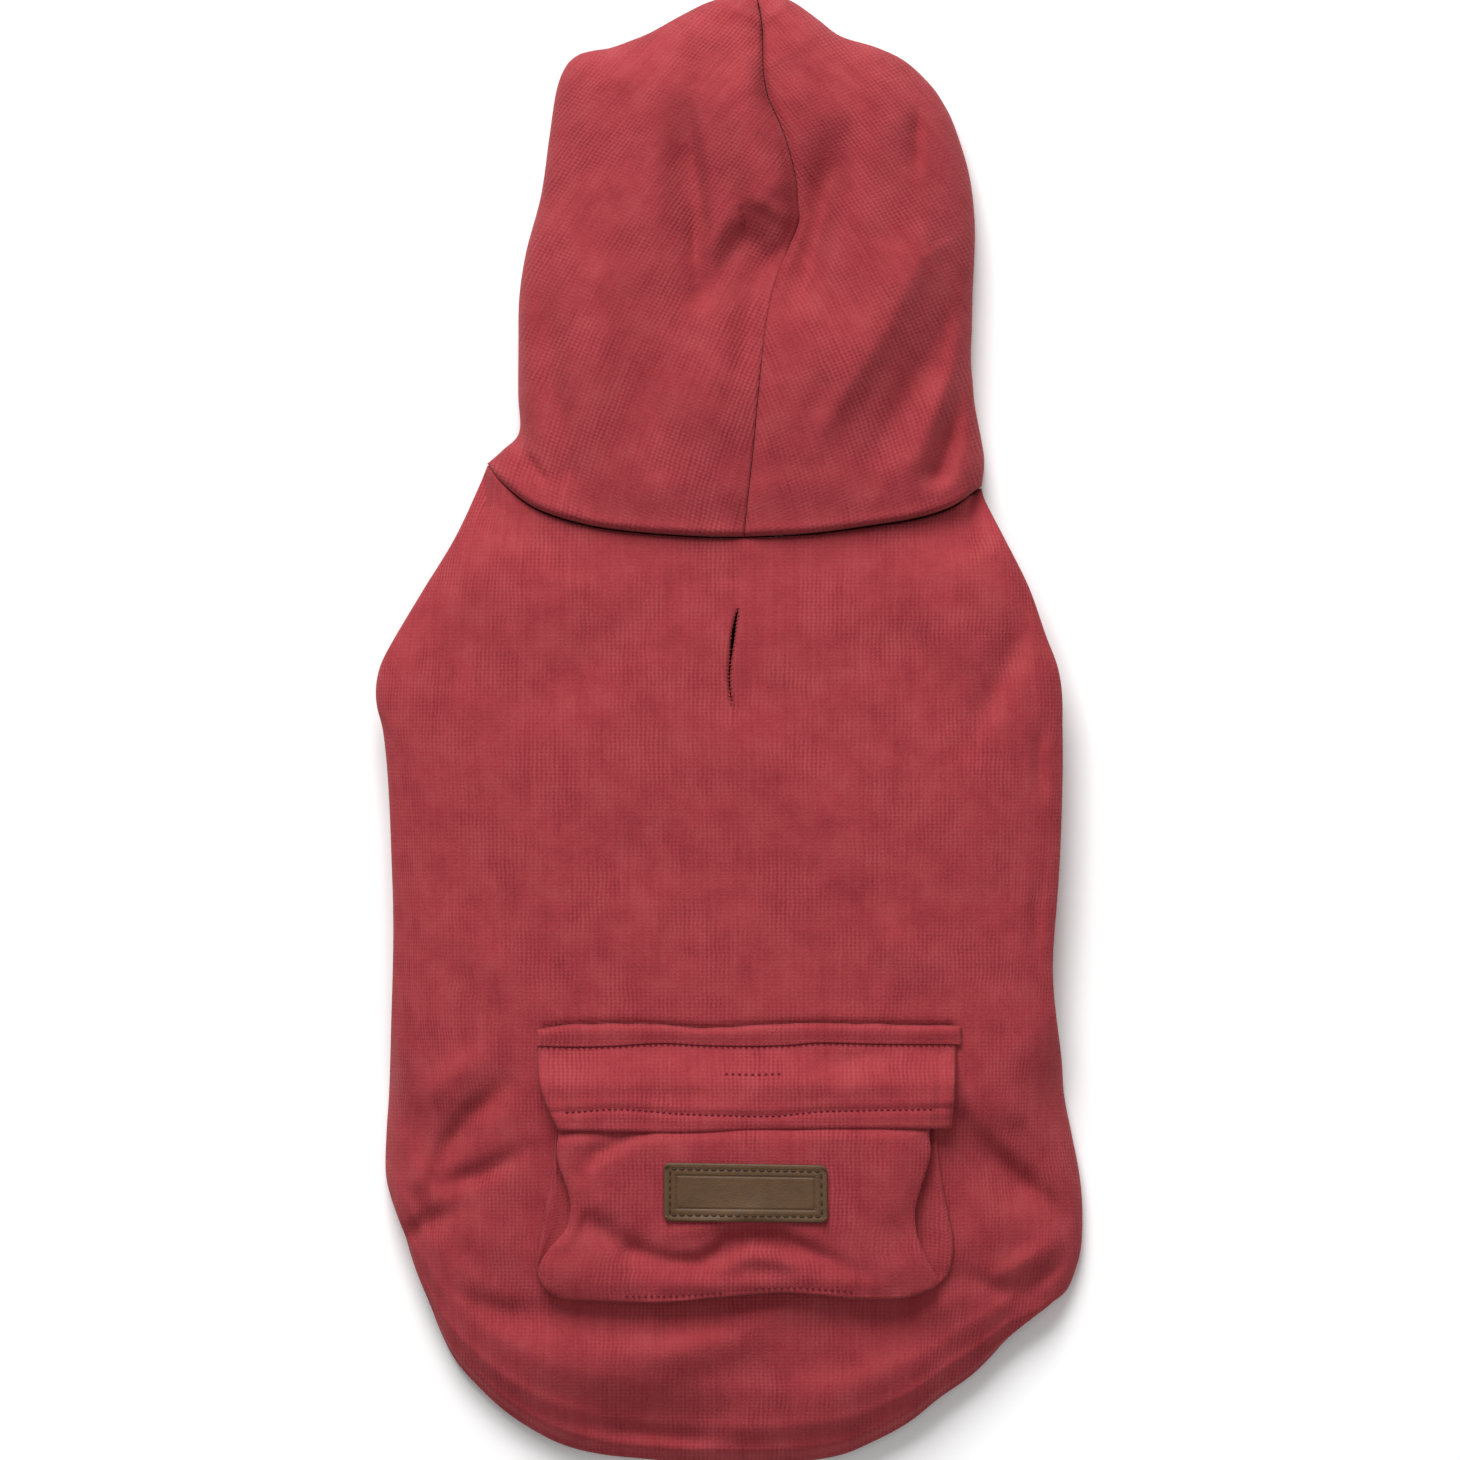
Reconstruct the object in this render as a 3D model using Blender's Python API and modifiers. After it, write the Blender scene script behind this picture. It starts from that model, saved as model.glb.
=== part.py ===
"""A hooded dog coat of knitted cotton fleece, laid on a table with its back up.

The coat points along +Y: hood at +Y, tail at -Y, back up. The origin is on the table,
in the middle of the coat's length and width. All sizes are in metres.
"""

import math
from collections import namedtuple

import bmesh
import bpy
from mathutils import Vector
from mathutils.bvhtree import BVHTree

# Cloth and leather
cloth = 0.0020
pocket_cloth = 0.0016
leather = 0.0012
seam_gap = 0.0005
corner_gap = 0.0012
lay_gap = 0.0004

# Body, from the neck seam to the tail hem
body_length = 0.3506
body_width = 0.2665
body_height = 0.0335
side_roll = 0.0045
side_turn = 0.0085
hem_rise = 0.0170

# Neck seam, where the hood is sewn on
neck_width = 0.1866
neck_rise = 0.0275
neck_height = 0.0270
throat_drop = 0.0200

# Hood, from the neck seam to its top edge
hood_length = 0.2050
hood_width = 0.1726
hood_height = 0.0400
hood_roll = 0.0080
rim_inset = 0.0210

# Sleeves, folded back flat under the belly
sleeve_width = 0.0700
sleeve_length = 0.1060
sleeve_height = 0.0135
sleeve_start = 0.0330
sleeve_bend = 0.0012
armhole_length = 0.0340
armhole_width = 0.0520
left_sleeve_inset = 0.0080
right_sleeve_inset = 0.0078
ride_up = 0.0300

# Slit for the lead, between the neck seam and the pocket
slit_down = 0.0262
slit_length = 0.0380
slit_width = 0.0014
slit_across = 0.0015
slit_lean = math.radians(2.0)

# Pocket with its flap and leather patch
pocket_down = 0.1855
pocket_width = 0.1606
pocket_shift = 0.0073
pocket_length = 0.1029
strip_width = 0.0062
strip_height = 0.0034
flap_length = 0.0324
mouth_down = 0.0222
bag_puff = 0.0120
gusset_tuck = 0.0015
patch_width = 0.0618
patch_length = 0.0226
patch_down = 0.0505
patch_shift = 0.0058

# Cells across and along each panel
back_cells = (22, 28)
belly_across = 12
hood_cells = (11, 16)
sleeve_cells = (18, 7)
bag_cells = (14, 10)
flap_cells = (14, 4)
strip_cells = 14
patch_cells = (8, 3)
roll_steps = 3
turn_smoothing = 12

neck_y = (body_length - hood_length) / 2
half_body = body_width / 2
half_hood = hood_width / 2
half_neck = neck_width / 2

# Outlines. Shares of the half width go out from the middle line, shares of the
# length go down the back or up the hood from the neck seam's middle.
Side = namedtuple("Side", "along out")
NeckPoint = namedtuple("NeckPoint", "across rise")
Height = namedtuple("Height", "along share")
Fold = namedtuple("Fold", "out0 along0 out1 along1 wide rise")

neck_seam = [
    NeckPoint(-0.982, 1.00),
    NeckPoint(-0.925, 0.74),
    NeckPoint(-0.792, 0.40),
    NeckPoint(-0.606, 0.18),
    NeckPoint(-0.300, 0.03),
    NeckPoint(0.056, 0.00),
    NeckPoint(0.450, 0.09),
    NeckPoint(0.752, 0.25),
    NeckPoint(0.910, 0.43),
    NeckPoint(1.018, 0.69),
]

left_side = [
    Side(0.002, 0.781),
    Side(0.057, 0.868),
    Side(0.113, 0.956),
    Side(0.161, 1.000),
    Side(0.210, 0.982),
    Side(0.300, 0.962),
    Side(0.434, 0.953),
    Side(0.585, 0.965),
    Side(0.682, 0.976),
    Side(0.735, 0.935),
    Side(0.784, 0.868),
]
right_side = [
    Side(-0.035, 0.727),
    Side(0.054, 0.846),
    Side(0.115, 0.905),
    Side(0.150, 0.926),
    Side(0.216, 0.882),
    Side(0.307, 0.903),
    Side(0.400, 0.885),
    Side(0.499, 0.914),
    Side(0.600, 0.945),
    Side(0.686, 0.990),
    Side(0.740, 1.000),
    Side(0.790, 0.979),
    Side(0.824, 0.910),
    Side(0.829, 0.857),
]
left_tail = [
    Side(0.840, 0.838),
    Side(0.885, 0.781),
    Side(0.942, 0.636),
    Side(0.979, 0.458),
    Side(0.993, 0.255),
]
right_tail = [
    Side(0.990, 0.294),
    Side(0.953, 0.509),
    Side(0.900, 0.693),
    Side(0.863, 0.784),
]

left_hood_side = [
    Side(0.195, 0.921),
    Side(0.320, 0.925),
    Side(0.441, 0.921),
    Side(0.540, 0.885),
    Side(0.631, 0.823),
    Side(0.735, 0.788),
    Side(0.822, 0.755),
    Side(0.875, 0.695),
]
left_hood_top = [
    Side(0.896, 0.590),
    Side(0.930, 0.345),
    Side(0.985, 0.096),
]
right_hood_side = [
    Side(0.165, 1.105),
    Side(0.243, 1.070),
    Side(0.329, 1.052),
    Side(0.460, 1.061),
    Side(0.592, 1.065),
    Side(0.671, 1.044),
    Side(0.756, 0.983),
    Side(0.835, 0.873),
]
right_hood_top = [
    Side(0.885, 0.735),
    Side(0.923, 0.485),
    Side(0.985, 0.279),
]
hood_seam = [
    Side(0.000, 0.061),
    Side(0.158, 0.100),
    Side(0.276, 0.127),
    Side(0.395, 0.157),
    Side(0.472, 0.201),
    Side(0.579, 0.301),
    Side(0.656, 0.288),
    Side(0.722, 0.249),
    Side(0.802, 0.170),
    Side(0.886, 0.144),
    Side(1.000, 0.118),
]

# Heights of the middle line, as shares of the body's or the hood's height
back_line = [
    Height(0.00, 0.82),
    Height(0.12, 0.94),
    Height(0.30, 1.00),
    Height(0.50, 0.97),
    Height(0.66, 0.95),
    Height(0.80, 0.90),
    Height(0.86, 0.66),
    Height(0.93, 0.30),
    Height(1.00, 0.10),
]
hood_line = [
    Height(0.00, 0.80),
    Height(0.12, 0.97),
    Height(0.30, 1.00),
    Height(0.50, 0.97),
    Height(0.70, 0.90),
    Height(0.85, 0.80),
    Height(1.00, 0.62),
]

# Folds and dents: a ridge or a valley between two places. Widths are shares of the
# half width, rises are shares of the height.
hood_folds = [
    Fold(-0.155, 0.730, -0.165, 0.490, 0.070, -0.12),
    Fold(-0.010, 0.870, 0.065, 0.640, 0.090, 0.08),
    Fold(0.080, 0.600, 0.360, 0.560, 0.095, -0.26),
    Fold(0.260, 0.520, 0.150, 0.400, 0.090, -0.14),
    Fold(0.700, 0.760, 0.560, 0.520, 0.130, 0.12),
    Fold(0.560, 0.520, 0.290, 0.240, 0.130, 0.10),
    Fold(0.915, 0.560, 0.680, 0.260, 0.090, -0.20),
    Fold(0.680, 0.260, 0.480, 0.080, 0.090, -0.12),
    Fold(-0.790, 0.360, -0.740, 0.180, 0.100, -0.07),
]
back_folds = [
    Fold(-0.820, 0.672, -0.650, 0.606, 0.060, -0.10),
    Fold(0.720, 0.660, 0.930, 0.730, 0.065, -0.12),
    Fold(0.650, 0.220, 0.820, 0.090, 0.090, -0.08),
    Fold(-0.650, 0.885, -0.250, 0.870, 0.130, 0.10),
    Fold(-0.370, 0.935, -0.080, 0.940, 0.090, -0.10),
]

# The bag of the pocket: shares of half the pocket's width and of the pocket's length
left_bag_side = [
    Side(0.381, 0.904),
    Side(0.509, 0.894),
    Side(0.637, 0.838),
    Side(0.766, 0.871),
    Side(0.846, 0.975),
    Side(0.930, 0.975),
]
right_bag_side = [
    Side(0.374, 0.922),
    Side(0.490, 0.918),
    Side(0.674, 0.918),
    Side(0.846, 0.940),
    Side(0.930, 0.900),
]
bag_bottom = [
    Side(1.000, -0.829),
    Side(1.000, -0.560),
    Side(0.985, -0.100),
    Side(0.960, 0.180),
    Side(0.982, 0.600),
    Side(0.955, 0.833),
]
bag_line = [
    Height(0.00, 0.48),
    Height(0.30, 0.60),
    Height(0.70, 0.88),
    Height(0.90, 1.00),
    Height(1.00, 0.88),
]

coat = bpy.data.collections.new("hooded_dog_coat")
cutters = bpy.data.collections.new("cutters")


def clear_scene():
    for thing in list(bpy.data.objects):
        bpy.data.objects.remove(thing)
    bpy.context.scene.collection.children.link(coat)
    bpy.context.scene.collection.children.link(cutters)


def material(name, colour, roughness):
    made = bpy.data.materials.new(name)
    made.use_nodes = True
    shader = made.node_tree.nodes["Principled BSDF"]
    shader.inputs["Base Color"].default_value = (*colour, 1.0)
    shader.inputs["Roughness"].default_value = roughness
    shader.inputs["Metallic"].default_value = 0.0
    return made


def smooth_step(low, high, value):
    share = min(max((value - low) / (high - low), 0.0), 1.0)
    return share * share * (3 - 2 * share)


def shoulder(across):
    """Height share of cloth that lies over a hollow: flat in the middle, steep at the edge."""
    return math.sqrt(max(1.0 - abs(across) ** 3, 0.0))


def line_height(rows, along):
    """The height share at a place along a table of heights, eased between its rows."""
    for low, high in zip(rows, rows[1:]):
        if along <= high.along:
            return low.share + (high.share - low.share) * smooth_step(low.along, high.along, along)
    return rows[-1].share


def smooth_curve(points):
    """A function of the share of length along a smooth curve through the points."""
    knots = [Vector(p) for p in points]
    knots = [2 * knots[0] - knots[1]] + knots + [2 * knots[-1] - knots[-2]]
    steps = 12
    fine = []
    for a, b, c, d in zip(knots, knots[1:], knots[2:], knots[3:]):
        for k in range(steps):
            t = k / steps
            cubic = (3 * b - 3 * c + d - a) * t**3
            fine.append((2 * b + (c - a) * t + (2 * a - 5 * b + 4 * c - d) * t * t + cubic) / 2)
    fine.append(knots[-2])
    lengths = [0.0]
    for a, b in zip(fine, fine[1:]):
        lengths.append(lengths[-1] + (b - a).length)

    def at(share):
        goal = min(max(share, 0.0), 1.0) * lengths[-1]
        low = 0
        high = len(lengths) - 1
        while high - low > 1:
            middle = (low + high) // 2
            if lengths[middle] <= goal:
                low = middle
            else:
                high = middle
        step = (goal - lengths[low]) / max(lengths[high] - lengths[low], 1e-9)
        return fine[low].lerp(fine[high], step)

    return at


def through(points):
    """A function of the share along a list of places, straight between them."""
    places = [Vector(p) for p in points]

    def at(share):
        step = min(max(share, 0.0), 1.0) * (len(places) - 1)
        low = min(int(step), len(places) - 2)
        return places[low].lerp(places[low + 1], step - low)

    return at


def part_of(curve, first, last):
    """The stretch of a curve between two shares of it, as a curve of its own."""
    return lambda share: curve(first + (last - first) * share)


def patch(front, back, left, right, across, along):
    """Rows of places between four curves that meet at their ends."""
    rows = []
    for v in along:
        row = []
        for u in across:
            ruled = front(u) * (1 - v) + back(u) * v + left(v) * (1 - u) + right(v) * u
            corners = (front(0) * (1 - u) + front(1) * u) * (1 - v)
            corners += (back(0) * (1 - u) + back(1) * u) * v
            row.append(ruled - corners)
        rows.append(row)
    return rows


def even(count):
    return [k / count for k in range(count + 1)]


def crowded_at_edges(count):
    """Shares from 0 to 1 that lie closer together near both ends."""
    shares = []
    for s in even(count):
        eased = 0.5 - 0.5 * math.cos(math.pi * s)
        shares.append(0.35 * s + 0.65 * eased)
    return shares


def crowded_at_end(count):
    """Shares from 0 to 1 that lie closer together near 1."""
    return [0.4 * s + 0.6 * math.sin(math.pi / 2 * s) for s in even(count)]


def fold_rise(folds, place, x, y):
    """Sum of the ridges and valleys at one place; place turns table shares into metres."""
    total = 0.0
    here = Vector((x, y))
    for fold in folds:
        start, end, wide = place(fold)
        along = end - start
        share = min(max((here - start).dot(along) / along.length_squared, 0.0), 1.0)
        off = (here - start - along * share).length / wide
        total += fold.rise * math.exp(-off * off)
    return total


def back_place(fold):
    start = Vector((fold.out0 * half_body, neck_y - fold.along0 * body_length))
    end = Vector((fold.out1 * half_body, neck_y - fold.along1 * body_length))
    return start, end, fold.wide * half_body


def hood_place(fold):
    start = Vector((fold.out0 * half_hood, neck_y + fold.along0 * hood_length))
    end = Vector((fold.out1 * half_hood, neck_y + fold.along1 * hood_length))
    return start, end, fold.wide * half_hood


def inward(points, centre, first, last, blend):
    """The level direction into the coat at each point of an edge, turned to first and last at its ends."""
    count = len(points) - 1
    turns = []
    for k in range(count + 1):
        before = Vector(points[max(k - 1, 0)][:2])
        after = Vector(points[min(k + 1, count)][:2])
        run = (after - before).normalized()
        turns.append(Vector((-run.y, run.x)))
    half_way = count // 2
    if turns[half_way].dot(centre - Vector(points[half_way][:2])) < 0:
        turns = [-turn for turn in turns]
    for _ in range(turn_smoothing):
        eased = [(turns[k - 1] + turns[k] + turns[k + 1]).normalized() for k in range(1, count)]
        turns = [turns[0]] + eased + [turns[-1]]
    if first:
        turns = [first.lerp(turn, smooth_step(0.0, blend, k / count)) for k, turn in enumerate(turns)]
    if last:
        turns = [turn.lerp(last, smooth_step(1 - blend, 1.0, k / count)) for k, turn in enumerate(turns)]
    return [turn.normalized() for turn in turns]


class Sheet:
    """A panel of cloth: its outer surface as rows of points, with strips turned off its edges."""

    def __init__(self, rows):
        self.points = [point for row in rows for point in row]
        self.wide = len(rows[0])
        self.tall = len(rows)
        self.faces = []
        for r in range(self.tall - 1):
            for c in range(self.wide - 1):
                a = r * self.wide + c
                self.faces.append((a, a + 1, a + 1 + self.wide, a + self.wide))

    def left_edge(self):
        return [r * self.wide for r in range(self.tall)]

    def right_edge(self):
        return [r * self.wide + self.wide - 1 for r in range(self.tall)]

    def last_row(self):
        return [(self.tall - 1) * self.wide + c for c in range(self.wide)]

    def add_strip(self, edge, rings):
        """Join rows of new points, one after the other, to an edge of the sheet."""
        before = edge
        for ring in rings:
            start = len(self.points)
            self.points.extend(ring)
            after = list(range(start, start + len(ring)))
            for k in range(len(ring) - 1):
                self.faces.append((before[k], before[k + 1], after[k + 1], after[k]))
            before = after
        return before

    def tree(self):
        return BVHTree.FromPolygons(self.points, self.faces)

    def make(self, name, facing, thick, look):
        """Make the object: the surface, thickened away from the side that it faces."""
        mesh = bpy.data.meshes.new(name)
        shape = bmesh.new()
        corners = [shape.verts.new(point) for point in self.points]
        for face in self.faces:
            shape.faces.new([corners[k] for k in face])
        bmesh.ops.recalc_face_normals(shape, faces=shape.faces)
        shape.faces.ensure_lookup_table()
        middle = shape.faces[(self.tall // 2 - 1) * (self.wide - 1) + (self.wide - 1) // 2]
        if middle.normal.dot(facing) < 0:
            bmesh.ops.reverse_faces(shape, faces=shape.faces)
        shape.to_mesh(mesh)
        shape.free()
        mesh.materials.append(look)
        mesh.shade_smooth()
        made = bpy.data.objects.new(name, mesh)
        coat.objects.link(made)
        wall = made.modifiers.new("wall", "SOLIDIFY")
        wall.thickness = thick
        wall.offset = -1.0
        wall.use_even_offset = False
        wall.use_quality_normals = True
        return made


def cut(made, cutter):
    """Cut a hole through a panel with another object."""
    for holder in list(cutter.users_collection):
        holder.objects.unlink(cutter)
    cutters.objects.link(cutter)
    cutter.hide_render = True
    cutter.display_type = "WIRE"
    hole = made.modifiers.new(cutter.name, "BOOLEAN")
    hole.operation = "DIFFERENCE"
    hole.solver = "EXACT"
    hole.object = cutter


def neck_points(side):
    """The neck seam, on the hood's side of the gap (1), on the body's (-1) or in its middle (0)."""
    places = []
    for p in neck_seam:
        gap = seam_gap / 2 + (corner_gap - seam_gap / 2) * min(abs(p.across), 1.0) ** 8
        places.append((p.across * half_neck, neck_y + p.rise * neck_rise + side * gap))
    return places


def side_points(rows, sign, direction, half, length):
    return [(sign * row.out * half, neck_y + direction * row.along * length) for row in rows]


def neck_top(x, corner_roll):
    """Height of both panels' edges along the neck seam."""
    share = min(abs(x) / (half_neck * 0.985), 1.0)
    return corner_roll + (neck_height - corner_roll) * shoulder(share)


def sleeve_middle(sign):
    inset = left_sleeve_inset if sign < 0 else right_sleeve_inset
    return sign * (half_body - inset - sleeve_width / 2)


def underside(x, y):
    """Height of the underside of the body above the table: it rides up over the sleeves."""
    sign = -1.0 if x < 0 else 1.0
    inner = abs(sleeve_middle(sign)) - sleeve_width / 2
    over = smooth_step(inner - ride_up, inner, abs(x))
    front = sleeve_start + armhole_length / 2
    rear = front - armhole_length - sleeve_length
    ahead = 1 - smooth_step(front + ride_up / 2, front + 1.5 * ride_up, y)
    behind = smooth_step(rear - 1.5 * ride_up, rear - ride_up / 2, y)
    return (sleeve_height + sleeve_bend + lay_gap) * over * ahead * behind


def body_side(sign):
    corner = neck_points(-1)[0 if sign < 0 else -1]
    rows = left_side if sign < 0 else right_side
    return smooth_curve([corner] + side_points(rows, sign, -1, half_body, body_length))


def tail_curve():
    left = side_points(left_side[-1:] + left_tail, -1, -1, half_body, body_length)
    middle = [(0.0, neck_y - body_length)]
    right = side_points(right_tail + right_side[-1:], 1, -1, half_body, body_length)
    return smooth_curve(left + middle + right)


def under_neck():
    """The neck line under the coat, from the left corner over the throat to the right corner."""
    left = neck_points(0)[0]
    right = neck_points(0)[-1]
    throat = Vector((hood_seam[0].out * half_hood, min(left[1], right[1]) - throat_drop))
    return Vector(left), throat, Vector(right)


def side_insets(edge_points, sign, depth):
    """Places under the body at one depth in from a side edge."""
    left, throat, right = under_neck()
    corner = left if sign < 0 else right
    centre = Vector((0.0, neck_y - body_length / 2))
    to_hem = Vector((-sign, 1.0)).normalized()
    turns = inward(edge_points, centre, (throat - corner).normalized(), to_hem, 0.12)
    return [Vector(point[:2]) + turn * depth for point, turn in zip(edge_points, turns)]


def lowest_back(x, y):
    """The back stays clear of the belly, and behind the belly's hem it lies on the table."""
    hem_y = neck_y - right_side[-1].along * body_length
    over_belly = smooth_step(hem_y - 0.020, hem_y, y)
    return cloth + (underside(x, y) + cloth + 2 * lay_gap) * over_belly


def back_surface():
    across = crowded_at_edges(back_cells[0])
    along = even(back_cells[1])
    front = smooth_curve(neck_points(-1))
    flat = patch(front, tail_curve(), body_side(-1), body_side(1), across, along)
    rows = []
    for v, flat_row in zip(along, flat):
        edges = []
        for end in (flat_row[0], flat_row[-1]):
            edges.append(underside(end.x, end.y) + side_roll)
        middle = line_height(back_line, v) * body_height
        row = []
        for u, point in zip(across, flat_row):
            edge = edges[0] + (edges[1] - edges[0]) * u
            high = edge + (middle - edge) * shoulder(2 * u - 1)
            inside = min(u, 1 - u) * 2
            fade = smooth_step(0.0, 0.25, inside) * smooth_step(0.0, 0.05, v)
            high += fold_rise(back_folds, back_place, point.x, point.y) * body_height * fade
            neck = neck_top(point.x, side_roll)
            high = neck + (high - neck) * smooth_step(0.0, 0.09, v)
            row.append(Vector((point.x, point.y, max(high, lowest_back(point.x, point.y)))))
        rows.append(row)
    return Sheet(rows)


def make_back(look):
    sheet = back_surface()
    for edge, sign in ((sheet.left_edge(), -1), (sheet.right_edge(), 1)):
        points = [sheet.points[k] for k in edge]
        rings = []
        for k in range(1, roll_steps + 1):
            angle = math.pi / 2 * k / roll_steps
            places = side_insets(points, sign, side_roll * (1 - math.cos(angle)))
            drop = side_roll * math.sin(angle)
            rings.append([Vector((*p, e.z - drop)) for p, e in zip(places, points)])
        places = side_insets(points, sign, side_turn)
        rings.append([Vector((*p, underside(*p))) for p in places])
        sheet.add_strip(edge, rings)
    made = sheet.make("back_panel", Vector((0, 0, 1)), cloth, look)
    bpy.ops.mesh.primitive_cube_add(size=1.0)
    blade = bpy.context.object
    blade.name = "lead_slit_cutter"
    blade.data.transform(
        ((slit_width, 0, 0, 0), (0, slit_length, 0, 0), (0, 0, body_height, 0), (0, 0, 0, 1))
    )
    blade.location = (slit_across, neck_y - slit_down - slit_length / 2, body_height)
    blade.rotation_euler = (0, 0, slit_lean)
    cut(made, blade)
    return sheet


def belly_surface(back):
    """The belly lies under the back, between the turned edges of its sides."""
    turned = side_turn + seam_gap
    left_edge = side_insets([back.points[k] for k in back.left_edge()], -1, turned)
    right_edge = side_insets([back.points[k] for k in back.right_edge()], 1, turned)
    throat = under_neck()[1] - Vector((0.0, 2 * seam_gap))
    front = smooth_curve([left_edge[0], left_edge[0].lerp(throat, 0.5), throat,
                          right_edge[0].lerp(throat, 0.5), right_edge[0]])
    hem_middle = (left_edge[-1] + right_edge[-1]) / 2 + Vector((0.0, hem_rise))
    hem = smooth_curve([left_edge[-1], left_edge[-1].lerp(hem_middle, 0.6), hem_middle,
                        right_edge[-1].lerp(hem_middle, 0.6), right_edge[-1]])
    along = even(back_cells[1])
    flat = patch(front, hem, through(left_edge), through(right_edge), even(belly_across), along)
    return Sheet([[Vector((p.x, p.y, underside(p.x, p.y))) for p in row] for row in flat])


def make_belly(back, look):
    made = belly_surface(back).make("belly_panel", Vector((0, 0, -1)), cloth, look)
    for sign, side_name in ((-1, "left"), (1, "right")):
        bpy.ops.mesh.primitive_cylinder_add(vertices=24, radius=0.5, depth=1.0)
        hole = bpy.context.object
        hole.name = side_name + "_armhole_cutter"
        wide = armhole_width - 2 * cloth
        long = armhole_length - 2 * cloth
        hole.data.transform(((wide, 0, 0, 0), (0, long, 0, 0), (0, 0, sleeve_height, 0), (0, 0, 0, 1)))
        hole.location = (sleeve_middle(sign), sleeve_start, sleeve_height + cloth)
        cut(made, hole)


def flat_ring(count, half_wide, half_high):
    """A flattened loop of places, as wide as a sleeve that lies flat."""
    loop = []
    for k in range(count):
        angle = 2 * math.pi * k / count
        across = math.copysign(abs(math.cos(angle)) ** 0.72, math.cos(angle))
        up = math.copysign(abs(math.sin(angle)) ** 0.72, math.sin(angle))
        loop.append((across * half_wide, up * half_high))
    return loop


def make_sleeve(sign, name, look):
    """The sleeve comes down out of its armhole, turns over and lies flat towards the tail."""
    around, along = sleeve_cells
    centre_x = sleeve_middle(sign)
    top = sleeve_height
    hinge = Vector((sleeve_start - armhole_length / 2, top + sleeve_bend))
    rings = []
    turns = 4
    for k in range(turns + 1):
        angle = math.pi / 2 * k / turns
        reach = Vector((math.cos(angle), -math.sin(angle)))
        half_high = min(armhole_length / 2 - sleeve_bend / 2, top / 2 / max(math.sin(angle), 0.01))
        half_wide = armhole_width / 2 + (sleeve_width - armhole_width) / 2 * smooth_step(0, turns, k)
        middle = hinge + reach * (sleeve_bend + half_high)
        ring = []
        for across, up in flat_ring(around, half_wide, half_high):
            place = middle - reach * up
            ring.append(Vector((centre_x + across, place.x, place.y)))
        rings.append(ring)
    for k in range(1, along + 1):
        back = sleeve_length * k / along
        narrow = 1 - 0.10 * k / along
        ring = []
        for across, up in flat_ring(around, sleeve_width / 2 * narrow, top / 2):
            ring.append(Vector((centre_x + across, hinge.x - back, top / 2 + up)))
        rings.append(ring)
    sheet = Sheet([ring + [ring[0]] for ring in rings])
    mesh = bpy.data.meshes.new(name)
    shape = bmesh.new()
    corners = [shape.verts.new(point) for point in sheet.points]
    for face in sheet.faces:
        shape.faces.new([corners[k] for k in face])
    bmesh.ops.remove_doubles(shape, verts=shape.verts, dist=1e-6)
    bmesh.ops.recalc_face_normals(shape, faces=shape.faces)
    shape.faces.ensure_lookup_table()
    outward = sum(f.normal.dot(f.calc_center_median() - Vector((centre_x, f.calc_center_median().y, top / 2)))
                  for f in shape.faces)
    if outward < 0:
        bmesh.ops.reverse_faces(shape, faces=shape.faces)
    shape.to_mesh(mesh)
    shape.free()
    mesh.materials.append(look)
    mesh.shade_smooth()
    made = bpy.data.objects.new(name, mesh)
    coat.objects.link(made)
    wall = made.modifiers.new("wall", "SOLIDIFY")
    wall.thickness = cloth
    wall.offset = -1.0
    wall.use_even_offset = False
    wall.use_quality_normals = True


def hood_curves(sign):
    """The four curves round one half of the hood's upper side."""
    neck = smooth_curve(neck_points(1))
    start_x = hood_seam[0].out * half_hood
    join = min(even(400), key=lambda s: abs(neck(s).x - start_x))
    to_side = part_of(neck, join, 0.0 if sign < 0 else 1.0)
    corner = to_side(1.0)
    side_rows, top_rows = (left_hood_side, left_hood_top) if sign < 0 else (right_hood_side, right_hood_top)
    side = smooth_curve([tuple(corner)] + side_points(side_rows, sign, 1, half_hood, hood_length))
    seam_places = side_points(hood_seam[1:], 1, 1, half_hood, hood_length)
    shift = Vector((sign * seam_gap / 2, 0.0))
    seam = smooth_curve([to_side(0.0)] + seam_places)
    top = smooth_curve([seam_places[-1]] + side_points(reversed(side_rows[-1:] + top_rows), sign, 1,
                                                      half_hood, hood_length))
    return (
        lambda s: to_side(s) + shift * (1 - s),
        lambda s: top(s) + shift * (1 - s),
        lambda s: seam(s) + shift,
        side,
    )


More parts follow.
